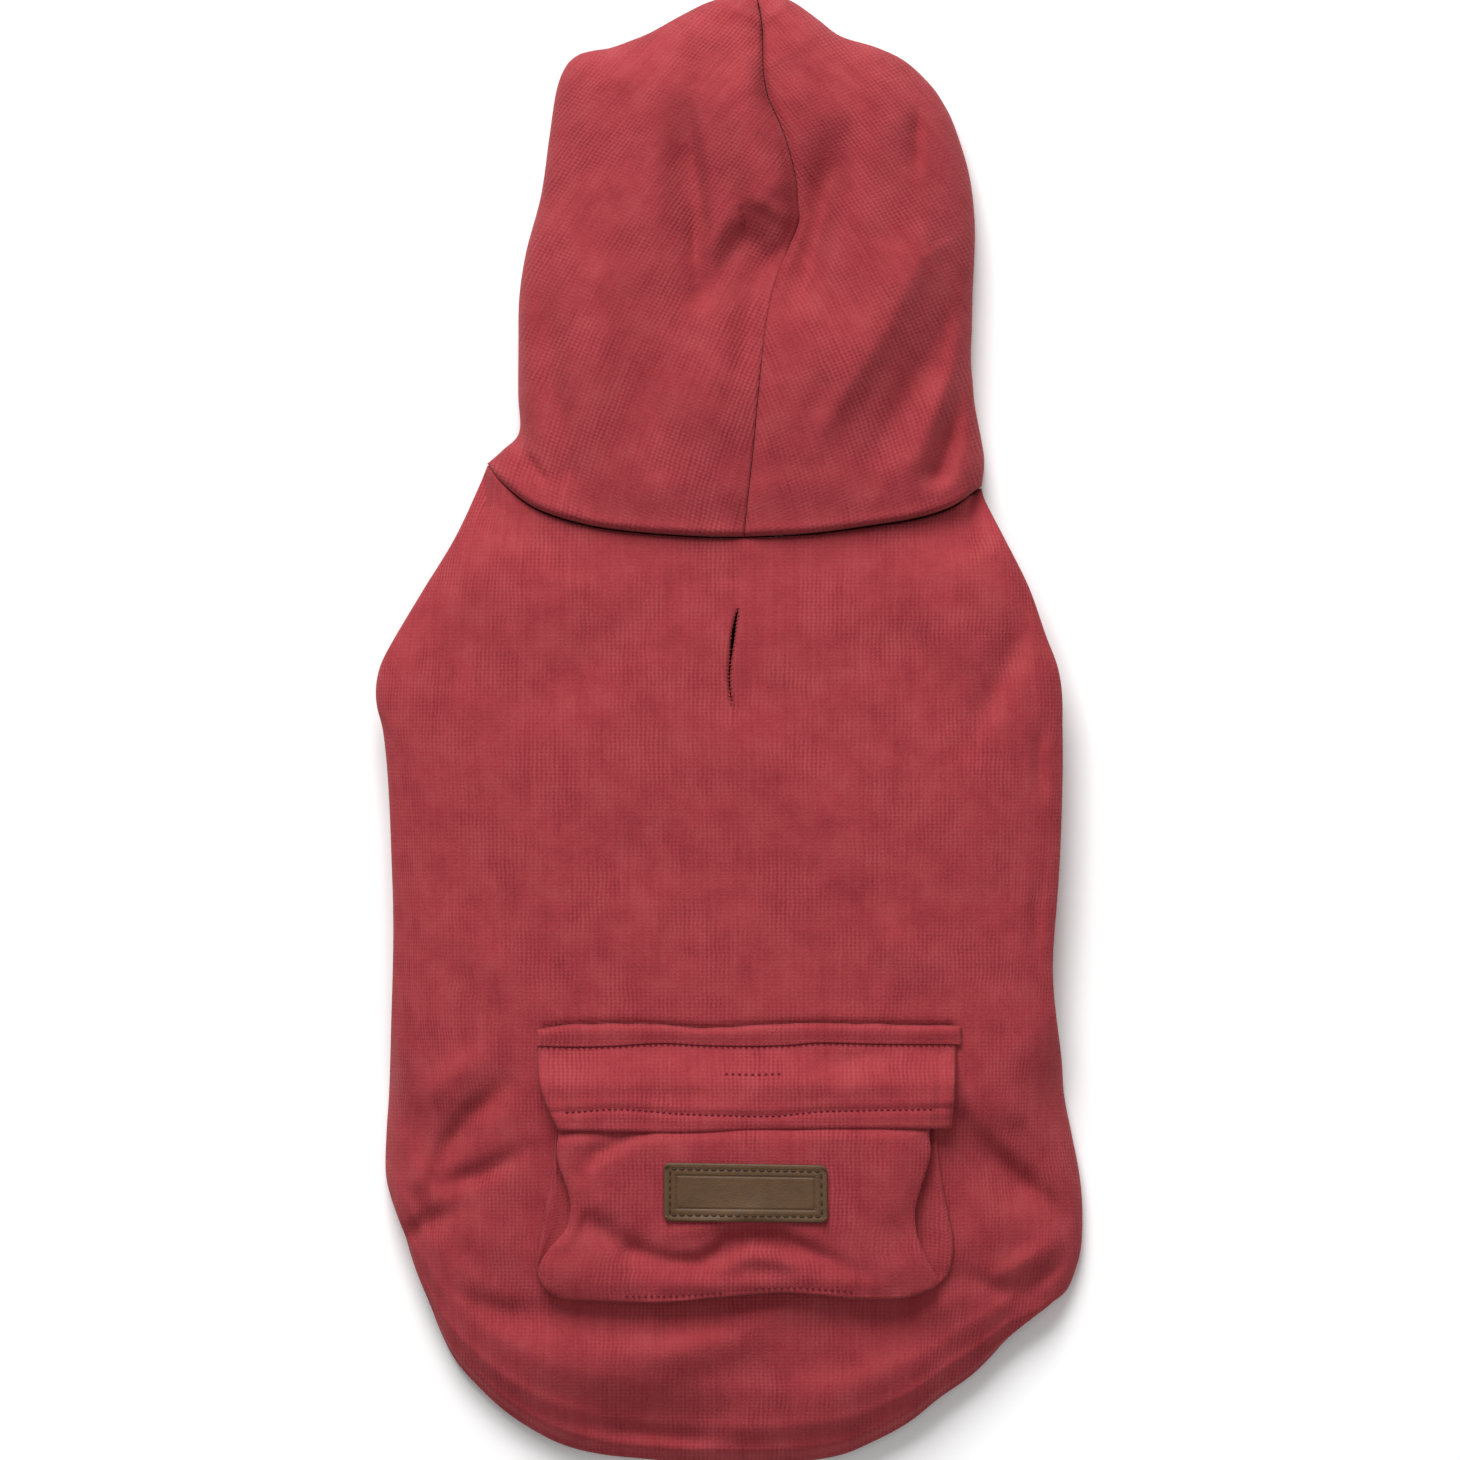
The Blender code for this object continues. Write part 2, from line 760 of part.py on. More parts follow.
def make_hood_half(sign, name, look):
    """One half of the hood: its upper side, the turn at its edge and the strip round the face opening."""
    neck, top, seam, side = hood_curves(sign)
    across = crowded_at_end(hood_cells[0])
    along = crowded_at_end(hood_cells[1])
    flat = patch(neck, top, seam, side, across, along)
    rows = []
    for v, flat_row in zip(along, flat):
        middle = line_height(hood_line, v) * hood_height
        row = []
        for u, point in zip(across, flat_row):
            roll = side_roll + (hood_roll - side_roll) * smooth_step(0.0, 0.25, v)
            high = roll + (middle - roll) * shoulder(u) * shoulder(v * v)
            dip = 0.05 * math.exp(-((u / 0.12) ** 2))
            inside = min(1 - u, 1 - v)
            fade = smooth_step(0.0, 0.20, inside) * smooth_step(0.0, 0.12, v)
            rise = fold_rise(hood_folds, hood_place, point.x, point.y) * fade
            high += (rise - dip * smooth_step(0.0, 0.15, inside)) * hood_height
            neck_z = neck_top(point.x, side_roll)
            high = neck_z + (high - neck_z) * smooth_step(0.0, 0.10, v)
            row.append(Vector((point.x, point.y, high)))
        rows.append(row)
    sheet = Sheet(rows)
    edge = sheet.right_edge() + sheet.last_row()[-2::-1]
    points = [sheet.points[k] for k in edge]
    left, throat, right = under_neck()
    corner = left if sign < 0 else right
    to_throat = (throat - corner).normalized()
    centre = Vector((throat.x, neck_y + hood_length / 2))
    turns = inward(points, centre, to_throat, Vector((0.0, -1.0)), 0.15)
    rings = []
    for k in range(1, roll_steps + 1):
        angle = math.pi / 2 * k / roll_steps
        ring = []
        for point, turn in zip(points, turns):
            place = Vector(point[:2]) + turn * point.z * (1 - math.cos(angle))
            ring.append(Vector((*place, point.z * (1 - math.sin(angle)))))
        rings.append(ring)
    under_steps = 3
    throat_width = (throat - corner).length
    for k in range(1, under_steps + 1):
        ring = []
        for s, (point, turn) in zip(even(len(points) - 1), zip(points, turns)):
            wide = rim_inset + (throat_width - rim_inset) * (1 - smooth_step(0.0, 0.30, s))
            if turn.x * sign < 0:
                wide = min(wide, (throat.x + sign * seam_gap / 2 - point.x) / turn.x)
            reach = point.z + (wide - point.z) * k / under_steps
            place = Vector(point[:2]) + turn * reach
            ring.append(Vector((*place, 0.0)))
        rings.append(ring)
    sheet.add_strip(edge, rings)
    sheet.make(name, Vector((0, 0, 1)), cloth, look)


def pocket_top():
    return neck_y - pocket_down


def bag_surface(back_tree):
    half = pocket_width / 2
    mouth_y = pocket_top() - mouth_down

    def places(rows, sign):
        return [(pocket_shift + sign * row.out * half, pocket_top() - row.along * pocket_length) for row in rows]

    bottom = smooth_curve(places(bag_bottom, 1))
    left = smooth_curve([(pocket_shift - left_bag_side[0].out * half, mouth_y)]
                        + places(left_bag_side, -1) + [tuple(bottom(0))])
    right = smooth_curve([(pocket_shift + right_bag_side[0].out * half, mouth_y)]
                         + places(right_bag_side, 1) + [tuple(bottom(1))])
    mouth = smooth_curve([tuple(left(0)), tuple(right(0))])
    across = crowded_at_edges(bag_cells[0])
    along = even(bag_cells[1])
    flat = patch(mouth, bottom, left, right, across, along)
    rows = []
    for v, flat_row in zip(along, flat):
        row = []
        for u, point in zip(across, flat_row):
            puff = bag_puff * line_height(bag_line, v) * (0.62 + 0.38 * shoulder(2 * u - 1))
            row.append(Vector((point.x, point.y, height_of(back_tree, point) + puff)))
        rows.append(row)
    return Sheet(rows)


def height_of(tree, place):
    """Height of a surface straight below a place."""
    hit = tree.ray_cast(Vector((place[0], place[1], 1.0)), Vector((0, 0, -1)))[0]
    return hit.z


def make_bag(back_tree, look):
    """The bag: its front, with the gusset tucked in down to the back panel, open at its mouth."""
    sheet = bag_surface(back_tree)
    edge = sheet.left_edge() + sheet.last_row()[1:-1] + sheet.right_edge()[::-1]
    points = [sheet.points[k] for k in edge]
    middle = Vector((pocket_shift, pocket_top() - pocket_length * 0.6))
    turns = []
    for point in points:
        turns.append((middle - Vector(point[:2])).normalized())
    rings = []
    for depth, left_up in ((0.0, 0.55), (gusset_tuck, 0.0)):
        ring = []
        for point, turn in zip(points, turns):
            place = Vector(point[:2]) + turn * depth
            ground = height_of(back_tree, place) + lay_gap
            ring.append(Vector((*place, ground + (point.z - ground) * left_up)))
        rings.append(ring)
    sheet.add_strip(edge, rings)
    sheet.make("pocket_bag", Vector((0, 0, 1)), pocket_cloth, look)
    return sheet.tree()


def make_flap(back_tree, look):
    """The flap hangs from the strip over the mouth of the bag."""
    half = pocket_width / 2
    top_y = pocket_top() - strip_width - lay_gap / 2
    under_bag = bag_puff * bag_line[1].share
    rows = []
    for v in even(flap_cells[1]):
        row = []
        reach = half * (0.978 - 0.062 * v)
        for u in even(flap_cells[0]):
            x = pocket_shift + (2 * u - 1) * reach
            y = top_y - v * flap_length
            lift = pocket_cloth + lay_gap + under_bag * smooth_step(0.0, 0.45, v)
            row.append(Vector((x, y, height_of(back_tree, (x, y)) + lift)))
        rows.append(row)
    Sheet(rows).make("pocket_flap", Vector((0, 0, 1)), pocket_cloth, look)


def make_strip(back_tree, look):
    """The raised fold that the flap is sewn down with, as a rounded bar."""
    half = pocket_width / 2
    around = 8
    rows = []
    for u in even(strip_cells):
        x = pocket_shift + (2 * u - 1) * half
        row = []
        for k in range(around + 1):
            angle = math.pi * k / around
            y = pocket_top() - strip_width / 2 * (1 - math.cos(angle))
            up = lay_gap + strip_height * math.sin(angle) ** 0.6
            row.append(Vector((x, y, height_of(back_tree, (x, y)) + up)))
        rows.append(row)
    mesh = bpy.data.meshes.new("flap_strip")
    shape = bmesh.new()
    corners = [[shape.verts.new(point) for point in row] for row in rows]
    for low, high in zip(corners, corners[1:]):
        for k in range(around + 1):
            after = (k + 1) % (around + 1)
            shape.faces.new((low[k], high[k], high[after], low[after]))
    shape.faces.new(corners[0])
    shape.faces.new(corners[-1])
    bmesh.ops.recalc_face_normals(shape, faces=shape.faces)
    bmesh.ops.triangulate(shape, faces=[f for f in shape.faces if len(f.verts) > 4])
    shape.to_mesh(mesh)
    shape.free()
    mesh.materials.append(look)
    mesh.shade_smooth()
    mesh.set_sharp_from_angle(angle=math.radians(50))
    coat.objects.link(bpy.data.objects.new("flap_strip", mesh))


def make_patch(bag_tree, look):
    """The leather patch, sewn on the front of the bag."""
    top_y = pocket_top() - patch_down
    rows = []
    for v in even(patch_cells[1]):
        row = []
        for u in even(patch_cells[0]):
            x = patch_shift + (u - 0.5) * patch_width
            y = top_y - v * patch_length
            row.append(Vector((x, y, height_of(bag_tree, (x, y)) + lay_gap + leather)))
        rows.append(row)
    Sheet(rows).make("leather_patch", Vector((0, 0, 1)), leather, look)


def build():
    clear_scene()
    knit = material("red_knit", (0.39, 0.060, 0.072), 0.92)
    hide = material("brown_leather", (0.155, 0.078, 0.035), 0.60)
    back = make_back(knit)
    make_belly(back, knit)
    make_hood_half(-1, "hood_left", knit)
    make_hood_half(1, "hood_right", knit)
    make_sleeve(-1, "sleeve_left", knit)
    make_sleeve(1, "sleeve_right", knit)
    back_tree = back.tree()
    bag_tree = make_bag(back_tree, knit)
    make_flap(back_tree, knit)
    make_strip(back_tree, knit)
    make_patch(bag_tree, hide)


build()
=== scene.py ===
"""The looks of a hooded dog coat of knitted cotton fleece, laid back up on a pale table.

The coat lies along +Y with its hood ahead. The panels are grids of cloth moved to their
places between the coat's outlines, with the folds laid in from tables. Lengths in the
tables are millimetres on the coat, from the middle of its length and width.
"""

import math
from collections import namedtuple

import bmesh
import bpy
import numpy as np
from mathutils import Matrix, Vector
from mathutils.bvhtree import BVHTree


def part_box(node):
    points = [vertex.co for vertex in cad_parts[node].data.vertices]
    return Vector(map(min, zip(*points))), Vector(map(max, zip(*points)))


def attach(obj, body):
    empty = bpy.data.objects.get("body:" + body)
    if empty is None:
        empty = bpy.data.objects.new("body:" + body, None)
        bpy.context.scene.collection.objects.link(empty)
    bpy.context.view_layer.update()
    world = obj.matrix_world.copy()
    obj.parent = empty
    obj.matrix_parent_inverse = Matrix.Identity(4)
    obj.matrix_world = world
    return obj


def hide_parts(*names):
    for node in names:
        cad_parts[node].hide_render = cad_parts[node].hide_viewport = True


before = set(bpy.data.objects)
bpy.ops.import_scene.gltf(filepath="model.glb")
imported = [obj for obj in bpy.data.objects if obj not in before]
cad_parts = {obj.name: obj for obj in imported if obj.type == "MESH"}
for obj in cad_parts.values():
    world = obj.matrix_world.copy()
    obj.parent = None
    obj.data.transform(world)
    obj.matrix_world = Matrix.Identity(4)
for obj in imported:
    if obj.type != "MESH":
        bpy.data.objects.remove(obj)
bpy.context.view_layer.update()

MM = 0.001

# Cloth, thread and leather
cloth = 2.0 * MM
pocket_cloth = 1.5 * MM
leather = 1.3 * MM
lay_gap = 0.3 * MM
thread = 1.0 * MM
waxed_thread = 0.8 * MM
stitch_pitch = 2.25 * MM
stitch_length = 0.9 * MM
patch_pitch = 2.9 * MM
patch_stitch = 1.7 * MM

# Body
neck_y = 72.8 * MM
neck_half = 92.0 * MM
throat = np.array([5.3, 71.0]) * MM
body_middle = np.array([0.0, -100.0]) * MM
hem_y = -217.0 * MM
body_height = 33.5 * MM
neck_height = 29.0 * MM
side_roll = 4.5 * MM
side_turn = 9.0 * MM
lobe_start = 0.855

# Hood
hood_height = 39.0 * MM
hood_roll = 8.0 * MM
rim_inset = 21.0 * MM
hood_middle = np.array([5.3, 170.0]) * MM
hood_wale_share = 0.92

# Sleeves under the belly
sleeve_height = 13.5 * MM
sleeve_rise = 15.1 * MM
sleeve_rear = -90.0 * MM
sleeve_front = 50.0 * MM
sleeve_inner = 55.0 * MM
sleeve_length = 117.0 * MM
sleeve_hem = 15.0 * MM
cuff_draw = 3.0 * MM
bend_y = 16.0 * MM
bend_gap = 1.2 * MM
armhole_y = 33.0 * MM
armhole_size = (48.0 * MM, 30.0 * MM, 12.0 * MM)
armhole_half = 26.0 * MM
ride_up = 30.0 * MM

# Slit for the lead
slit_low = 9.3 * MM
slit_high = 46.6 * MM
slit_open = 1.6 * MM

# Pocket
pocket_left = -72.8 * MM
pocket_right = 87.0 * MM
strip_height = 2.8 * MM
bag_puff = 12.0 * MM
bag_middle = np.array([7.5, -170.0]) * MM

# Leather patch, in mm
patch_half_wide = 30.8
patch_half_tall = 11.2
patch_round = 1.3
patch_border = 2.4
patch_frame = 4.9

Fold = namedtuple("Fold", "path left right rise first last", defaults=(0.35, 0.35))
Height = namedtuple("Height", "along share")
Rumple = namedtuple("Rumple", "rise size seed")

neck_seam = [
    (-91.6, 100.3), (-86.2, 93.4), (-73.9, 83.8), (-56.5, 77.8), (-37.7, 74.8),
    (-13.6, 73.0), (5.3, 72.8), (29.8, 73.9), (51.3, 76.6), (70.1, 79.6),
    (83.3, 83.8), (92.4, 89.8), (95.0, 91.7),
]
left_side = [
    (-91.6, 99.9), (-95.0, 91.6), (-104.0, 72.0), (-115.7, 52.8), (-127.4, 33.2),
    (-131.9, 24.1), (-133.5, 16.2), (-133.1, 8.7), (-130.8, -0.8), (-129.0, -18.8),
    (-127.8, -44.9), (-127.0, -79.6), (-128.6, -132.3), (-129.7, -150.4), (-130.1, -166.3),
    (-128.2, -176.1), (-124.0, -186.2), (-121.4, -194.5), (-117.6, -199.8), (-115.7, -202.1),
]
right_side = [
    (95.0, 91.3), (96.5, 86.3), (103.7, 72.0), (112.7, 53.9), (119.1, 35.8),
    (123.4, 24.4), (125.2, 14.0), (125.4, 2.0), (125.5, -14.0), (125.0, -34.5),
    (124.2, -52.4), (123.2, -66.7), (121.8, -86.0), (122.4, -102.0), (125.2, -124.0),
    (126.2, -137.6), (129.0, -152.3), (132.0, -167.8), (133.1, -180.6), (132.7, -194.5),
    (130.4, -204.3), (127.0, -211.9), (121.8, -216.0), (116.4, -217.9), (114.2, -217.6),
]
tail = [
    (-115.7, -202.1), (-115.0, -205.5), (-113.1, -216.4), (-110.1, -225.4), (-104.1, -237.5),
    (-95.8, -247.3), (-84.8, -257.5), (-72.0, -265.8), (-61.1, -270.7), (-48.3, -273.7),
    (-33.9, -275.2), (-10.0, -277.2), (12.0, -277.6), (39.2, -274.5), (55.0, -268.4),
    (67.9, -261.3), (78.8, -252.6), (92.4, -242.8), (104.4, -230.0), (112.3, -219.0),
    (114.2, -217.6),
]
left_hood_edge = [
    (-91.6, 100.6), (-85.6, 105.9), (-79.5, 112.7), (-79.9, 126.7), (-79.8, 146.7),
    (-79.5, 163.2), (-76.9, 180.6), (-71.3, 201.8), (-68.2, 223.6), (-65.5, 241.3),
    (-62.0, 250.5), (-57.3, 254.9), (-51.5, 256.6), (-45.2, 257.6), (-37.0, 260.5),
    (-29.8, 263.5), (-19.0, 269.5), (-8.3, 274.8), (2.0, 277.5), (10.0, 277.8),
]
right_hood_edge = [
    (95.0, 92.2), (95.9, 100.0), (95.4, 106.7), (92.4, 122.5), (91.6, 131.0),
    (90.9, 140.3), (91.3, 153.0), (91.6, 167.0), (92.3, 181.0), (92.2, 194.2),
    (90.1, 210.4), (84.8, 227.7), (80.6, 236.5), (75.4, 243.9), (66.0, 252.6),
    (55.0, 257.9), (41.8, 262.0), (33.0, 268.5), (24.1, 274.8), (17.0, 277.3), (10.0, 277.8),
]
hood_seam = [
    (5.3, 72.8), (6.8, 88.0), (8.7, 105.2), (10.9, 129.3), (13.6, 153.8),
    (17.3, 169.6), (22.5, 182.5), (26.0, 191.5), (25.6, 199.0), (24.9, 207.3),
    (21.5, 220.9), (17.5, 231.0), (14.7, 237.1), (12.8, 246.0), (12.4, 254.5),
    (12.0, 266.0), (10.0, 277.8),
]

back_line = [
    Height(0.00, 0.88), Height(0.12, 0.96), Height(0.30, 1.00), Height(0.50, 0.97),
    Height(0.64, 0.96), Height(0.79, 0.84), Height(0.845, 0.75), Height(0.90, 0.69),
    Height(0.95, 0.59), Height(0.98, 0.44), Height(1.00, 0.16),
]
hood_line = [
    Height(0.00, 0.86), Height(0.10, 0.95), Height(0.28, 1.00), Height(0.50, 0.98),
    Height(0.72, 0.96), Height(0.86, 0.88), Height(0.94, 0.66), Height(0.98, 0.40),
    Height(1.00, 0.22),
]

# The left half's folds: the nose beside the seam, the hollow under it, then outwards
left_hood_folds = [
    Fold([(9, 262), (4, 238), (9, 217), (14, 205)], 9.0, 11.0, 7.0, 0.1, 1.0),
    Fold([(-4, 190), (6, 183), (19, 172)], 8.0, 26.0, -7.5, 0.0, 1.0),
    Fold([(4, 202), (14, 197), (24, 190)], 3.5, 2.4, 1.4, 0.0, 0.6),
    Fold([(18, 168), (12, 148), (10, 124)], 8.0, 9.0, -3.0, 1.0, 0.0),
    Fold([(-18, 246), (-14, 214), (-11, 190), (-11, 166)], 3.6, 10.0, -7.0, 0.0, 0.5),
    Fold([(-14, 198), (-13, 184), (-12.5, 171)], 1.5, 3.2, -2.4, 0.1, 0.4),
    Fold([(-30, 240), (-28, 206), (-29, 180)], 7.0, 8.0, 2.0),
    Fold([(-4, 150), (-7, 126), (-4, 98)], 7.0, 7.0, 1.6),
    Fold([(-34, 160), (-30, 126), (-25, 100)], 6.0, 9.0, -3.0),
    Fold([(-48, 200), (-50, 150), (-54, 108)], 9.0, 9.0, 2.6),
    Fold([(-70, 176), (-67, 136), (-61, 98)], 5.0, 8.0, -4.4, 0.0, 0.6),
    Fold([(-60, 240), (-63, 210), (-69, 180)], 6.0, 8.0, -2.4),
    Fold([(-42, 250), (-38, 220)], 6.0, 8.0, -1.6),
    Fold([(-80, 114), (-77, 104), (-71, 96)], 1.4, 4.5, -3.5, 1.0, 0.6),
]
# The right half's folds: the shaded band beside the seam, then outwards
right_hood_folds = [
    Fold([(46, 236), (40, 216), (35, 198), (32, 184), (27, 166), (20, 146)], 5.5, 9.5, -9.5, 0.0, 0.0),
    Fold([(30, 246), (22, 232)], 6.0, 6.0, 1.6),
    Fold([(60, 252), (54, 220), (48, 190), (40, 160)], 12.0, 9.0, 3.2, 0.3, 0.0),
    Fold([(78, 212), (71, 178), (58, 152), (36, 118), (22, 96)], 7.5, 20.0, 7.0, 0.0, 0.1),
    Fold([(89, 180), (83, 154), (66, 124), (52, 96)], 9.0, 7.0, -4.5, 0.0, 0.3),
    Fold([(91, 158), (86, 138), (78, 118), (70, 100)], 5.0, 5.0, 3.4),
    Fold([(91, 138), (86, 118), (79, 97)], 4.5, 6.0, -6.5, 0.2, 1.0),
    Fold([(70, 238), (71, 206)], 2.2, 4.0, -3.0, 0.0, 0.0),
    Fold([(38, 138), (31, 112)], 4.0, 6.0, -2.0),
]
back_folds = [
    Fold([(60, 52), (74, 18), (88, -5)], 7.0, 7.0, -2.6),
    Fold([(114, 46), (103, 20), (90, -6)], 5.0, 7.0, -3.4),
    Fold([(80, 44), (93, 20)], 8.0, 8.0, 2.0),
    Fold([(121, 8), (117, -6), (117, -16), (119, -32)], 2.6, 3.4, -2.4, 0.0, 0.0),
    Fold([(118, -50), (116, -68), (117, -84), (119, -98)], 2.6, 3.4, -2.4, 0.0, 0.2),
    Fold([(-26, 48), (-60, 20), (-88, 0)], 15.0, 15.0, -2.0),
    Fold([(-50, -40), (-20, -66)], 12.0, 12.0, -1.6),
    Fold([(-16, 6), (24, -24), (60, -60)], 14.0, 14.0, 1.5),
    Fold([(-112, -66), (-76, -102)], 9.0, 9.0, 1.8),
    Fold([(52, -72), (80, -94)], 9.0, 9.0, 1.8),
    Fold([(-112, -166), (-98, -145), (-84, -134)], 4.0, 4.0, -5.0),
    Fold([(-110, -172), (-94, -167), (-76, -158)], 3.5, 3.5, -3.6),
    Fold([(-120, -142), (-102, -129), (-86, -121)], 6.0, 6.0, 2.0),
    Fold([(-126, -194), (-112, -184), (-102, -181)], 3.5, 4.5, -3.4),
    Fold([(-122, -176), (-112, -160)], 4.0, 4.0, 2.4),
    Fold([(86, -148), (99, -161), (113, -173), (126, -184)], 5.0, 9.0, -6.5, 0.5, 0.3),
    Fold([(96, -138), (112, -146), (124, -160)], 7.0, 6.0, 2.4),
    Fold([(127, -200), (118, -207), (110, -213)], 3.0, 3.0, -2.2),
    Fold([(128, -190), (116, -199), (104, -204)], 5.0, 5.0, 2.4),
    Fold([(86, -206), (100, -210), (112, -212)], 4.0, 5.0, -2.6),
    Fold([(-88, -230), (-64, -236), (-40, -236), (-24, -233)], 8.0, 15.0, 4.5, 0.2, 0.6),
    Fold([(-46, -240), (-22, -236), (2, -228), (28, -216)], 6.0, 9.0, 3.4, 0.2, 0.2),
    Fold([(-34, -219), (-24, -220)], 9.0, 9.0, 2.2),
    Fold([(-64, -255), (-42, -264), (-16, -266), (10, -261)], 12.0, 5.0, -5.0, 0.2, 0.0),
    Fold([(40, -224), (70, -224), (88, -232)], 7.0, 9.0, -2.0, 0.2, 0.2),
    Fold([(10, -258), (40, -253), (70, -240)], 9.0, 9.0, 2.2),
    Fold([(-104, -213), (-84, -220), (-64, -219)], 5.0, 6.0, -3.0),
    Fold([(-112, 30), (-96, 60)], 8.0, 8.0, 1.4),
    Fold([(-1, 53), (0, 62)], 5.0, 5.0, -1.2),
]
back_rumples = [Rumple(0.7, 38, 3), Rumple(0.35, 17, 4), Rumple(0.12, 8, 5)]
hood_rumples = [Rumple(0.7, 34, 13), Rumple(0.4, 15, 14), Rumple(0.12, 7, 15)]
bag_rumples = [Rumple(0.35, 16, 31), Rumple(0.15, 7, 32)]
flap_rumples = [Rumple(0.5, 22, 41), Rumple(0.2, 9, 42)]

# The slit's line, and how far in the sleeve's outer edge draws at each y
slit_line = [(3.4, 47.5), (1.5, 38.0), (-0.2, 22.0), (0.0, 15.0), (1.1, 8.5)]
sleeve_edge = [(-101, 5.6), (-93, 4.3), (-79, 3.4), (-65, 2.0), (-38, 1.2), (-12, 0.8), (16, 1.0)]

bag_left = [
    (-66.0, -134.5), (-65.0, -143.0), (-64.4, -151.0), (-64.8, -161.0), (-61.4, -171.5),
    (-59.6, -179.5), (-61.6, -188.0), (-68.4, -196.0), (-72.0, -203.5), (-70.0, -209.6),
    (-64.0, -213.6), (-57.9, -214.4),
]
bag_right = [
    (79.0, -134.5), (77.0, -143.0), (74.8, -151.5), (75.2, -160.0), (71.6, -172.0),
    (69.4, -181.0), (70.2, -190.0), (74.0, -199.3), (77.8, -206.6), (76.9, -209.8),
]
bag_bottom = [
    (-57.9, -214.4), (-26.1, -215.1), (7.2, -212.1), (23.9, -211.4), (46.6, -213.6),
    (64.8, -213.6), (76.9, -209.8),
]
bag_mouth = [(-66.0, -134.5), (79.0, -134.5)]
# Where the gussets meet the back, beyond the bag's front edges
gusset_left = [
    (-66.0, -140.0), (-65.6, -153.0), (-67.0, -166.0), (-69.8, -181.0), (-72.4, -197.0),
    (-73.2, -206.0),
]
gusset_right = [
    (79.0, -140.0), (77.6, -152.0), (79.4, -166.0), (82.2, -181.0), (84.6, -194.0),
    (83.0, -204.0), (79.4, -209.2),
]
# From the bag's front edge: share of the way out to that line, mm tucked under, share of the height
gusset_rings = [
    (0.00, -0.3, 0.93), (0.00, 0.3, 0.78), (0.00, 2.2, 0.58), (0.00, 4.2, 0.36), (0.06, 4.2, 0.14),
    (0.30, 2.0, 0.05), (0.60, 0.4, 0.18), (0.82, 0.0, 0.34), (0.95, 0.0, 0.22), (1.00, 0.0, 0.00),
]
bag_line = [
    Height(0.00, 0.46), Height(0.17, 0.62), Height(0.235, 0.80), Height(0.55, 0.76),
    Height(0.80, 0.72), Height(1.00, 0.62),
]
bag_folds = [
    Fold([(-33, -152), (-41, -155), (-50, -160), (-56, -167)], 2.6, 5.0, -3.6, 0.3, 0.2),
    Fold([(-59, -181), (-48, -189), (-36, -195)], 5.0, 5.0, -2.4, 0.5, 1.0),
    Fold([(-37, -196), (-22, -200), (-11, -200), (-4, -196), (0, -192), (8, -190), (18, -191), (27, -195),
          (39, -200), (50, -204)], 3.2, 4.6, -4.4, 0.5, 0.2),
    Fold([(-4, -202), (8, -198), (18, -199), (30, -204)], 3.6, 4.0, 2.4),
    Fold([(-24, -190), (-10, -187), (6, -183), (20, -185)], 4.0, 3.5, 1.4),
    Fold([(-50, -208), (-10, -209), (30, -207), (56, -209)], 3.0, 3.0, 1.0),
    Fold([(-63, -166), (-57, -180), (-62, -192)], 2.6, 4.5, 1.8),
    Fold([(56, -156), (60, -176), (58, -194)], 8.0, 5.0, 1.4),
    Fold([(-50, -174), (-44, -186)], 6.0, 6.0, 1.4),
]
strip_top = [
    (-72.8, -112.7), (-60.0, -110.9), (-44.0, -110.5), (-26.0, -110.8), (-8.0, -112.1),
    (8.0, -111.2), (24.0, -110.5), (50.0, -110.6), (70.0, -111.0), (87.6, -111.4),
]
strip_foot = [
    (-72.8, -118.9), (-60.0, -119.3), (-44.0, -119.0), (-26.0, -117.9), (-10.0, -118.7),
    (8.0, -119.0), (22.0, -118.6), (34.0, -117.7), (57.0, -118.2), (87.6, -118.4),
]
flap_hem = [
    (-72.8, -144.2), (-60.0, -143.6), (-41.0, -142.5), (-18.5, -144.2), (0.0, -144.8),
    (16.0, -145.0), (34.0, -143.3), (50.0, -142.9), (77.0, -142.4), (87.6, -142.4),
]
flap_foot = [
    (-64.7, -150.8), (-40.0, -151.2), (-18.5, -151.5), (16.3, -150.4), (50.0, -150.0),
    (83.4, -150.0),
]
flap_left = [(-72.4, -118.9), (-71.2, -135.0), (-64.7, -150.8)]
flap_right = [(85.2, -118.4), (84.6, -135.0), (83.4, -150.0)]
flap_folds = [
    Fold([(28, -124), (40, -127), (54, -124)], 4.0, 5.0, -2.2),
    Fold([(20, -134), (44, -135), (66, -132)], 6.0, 6.0, 1.2),
    Fold([(-50, -134), (-20, -137), (4, -134)], 6.0, 5.0, -0.9),
    Fold([(79, -121), (79, -134), (78, -148)], 1.8, 1.8, -0.9, 0.6, 0.6),
    Fold([(-67, -122), (-65, -136), (-60, -148)], 1.8, 1.8, -0.8, 0.6, 0.6),
    Fold([(-56, -124), (-36, -126)], 5.0, 5.0, 0.8),
]
patch_corners = [(-25.0, -162.6), (36.6, -163.6), (36.9, -185.4), (-25.0, -184.8)]

# Lines of stitches
flap_middle_row = [(-2.6, -129.3), (8.0, -129.6), (19.6, -129.3)]
bag_base_row = [(8.7, -210.0), (26.9, -209.6), (46.6, -211.2)]
bag_faint_row = [(-40.0, -213.0), (-20.0, -212.8), (-2.6, -211.4)]
patch_rows = [(-22.6, -165.0), (34.3, -166.0), (34.5, -183.0), (-22.6, -182.4), (-22.6, -165.0)]

coat = bpy.data.collections.new("hooded_dog_coat_looks")
bpy.context.scene.collection.children.link(coat)


# Curves, heights and folds

def smooth_step(low, high, value):
    share = np.clip((np.asarray(value, float) - low) / (high - low), 0.0, 1.0)
    return share * share * (3 - 2 * share)


def shoulder(across):
    """Height share of cloth over a hollow: flat in the middle, steep at the edge."""
    return np.sqrt(np.maximum(1.0 - np.abs(across) ** 4, 0.0))


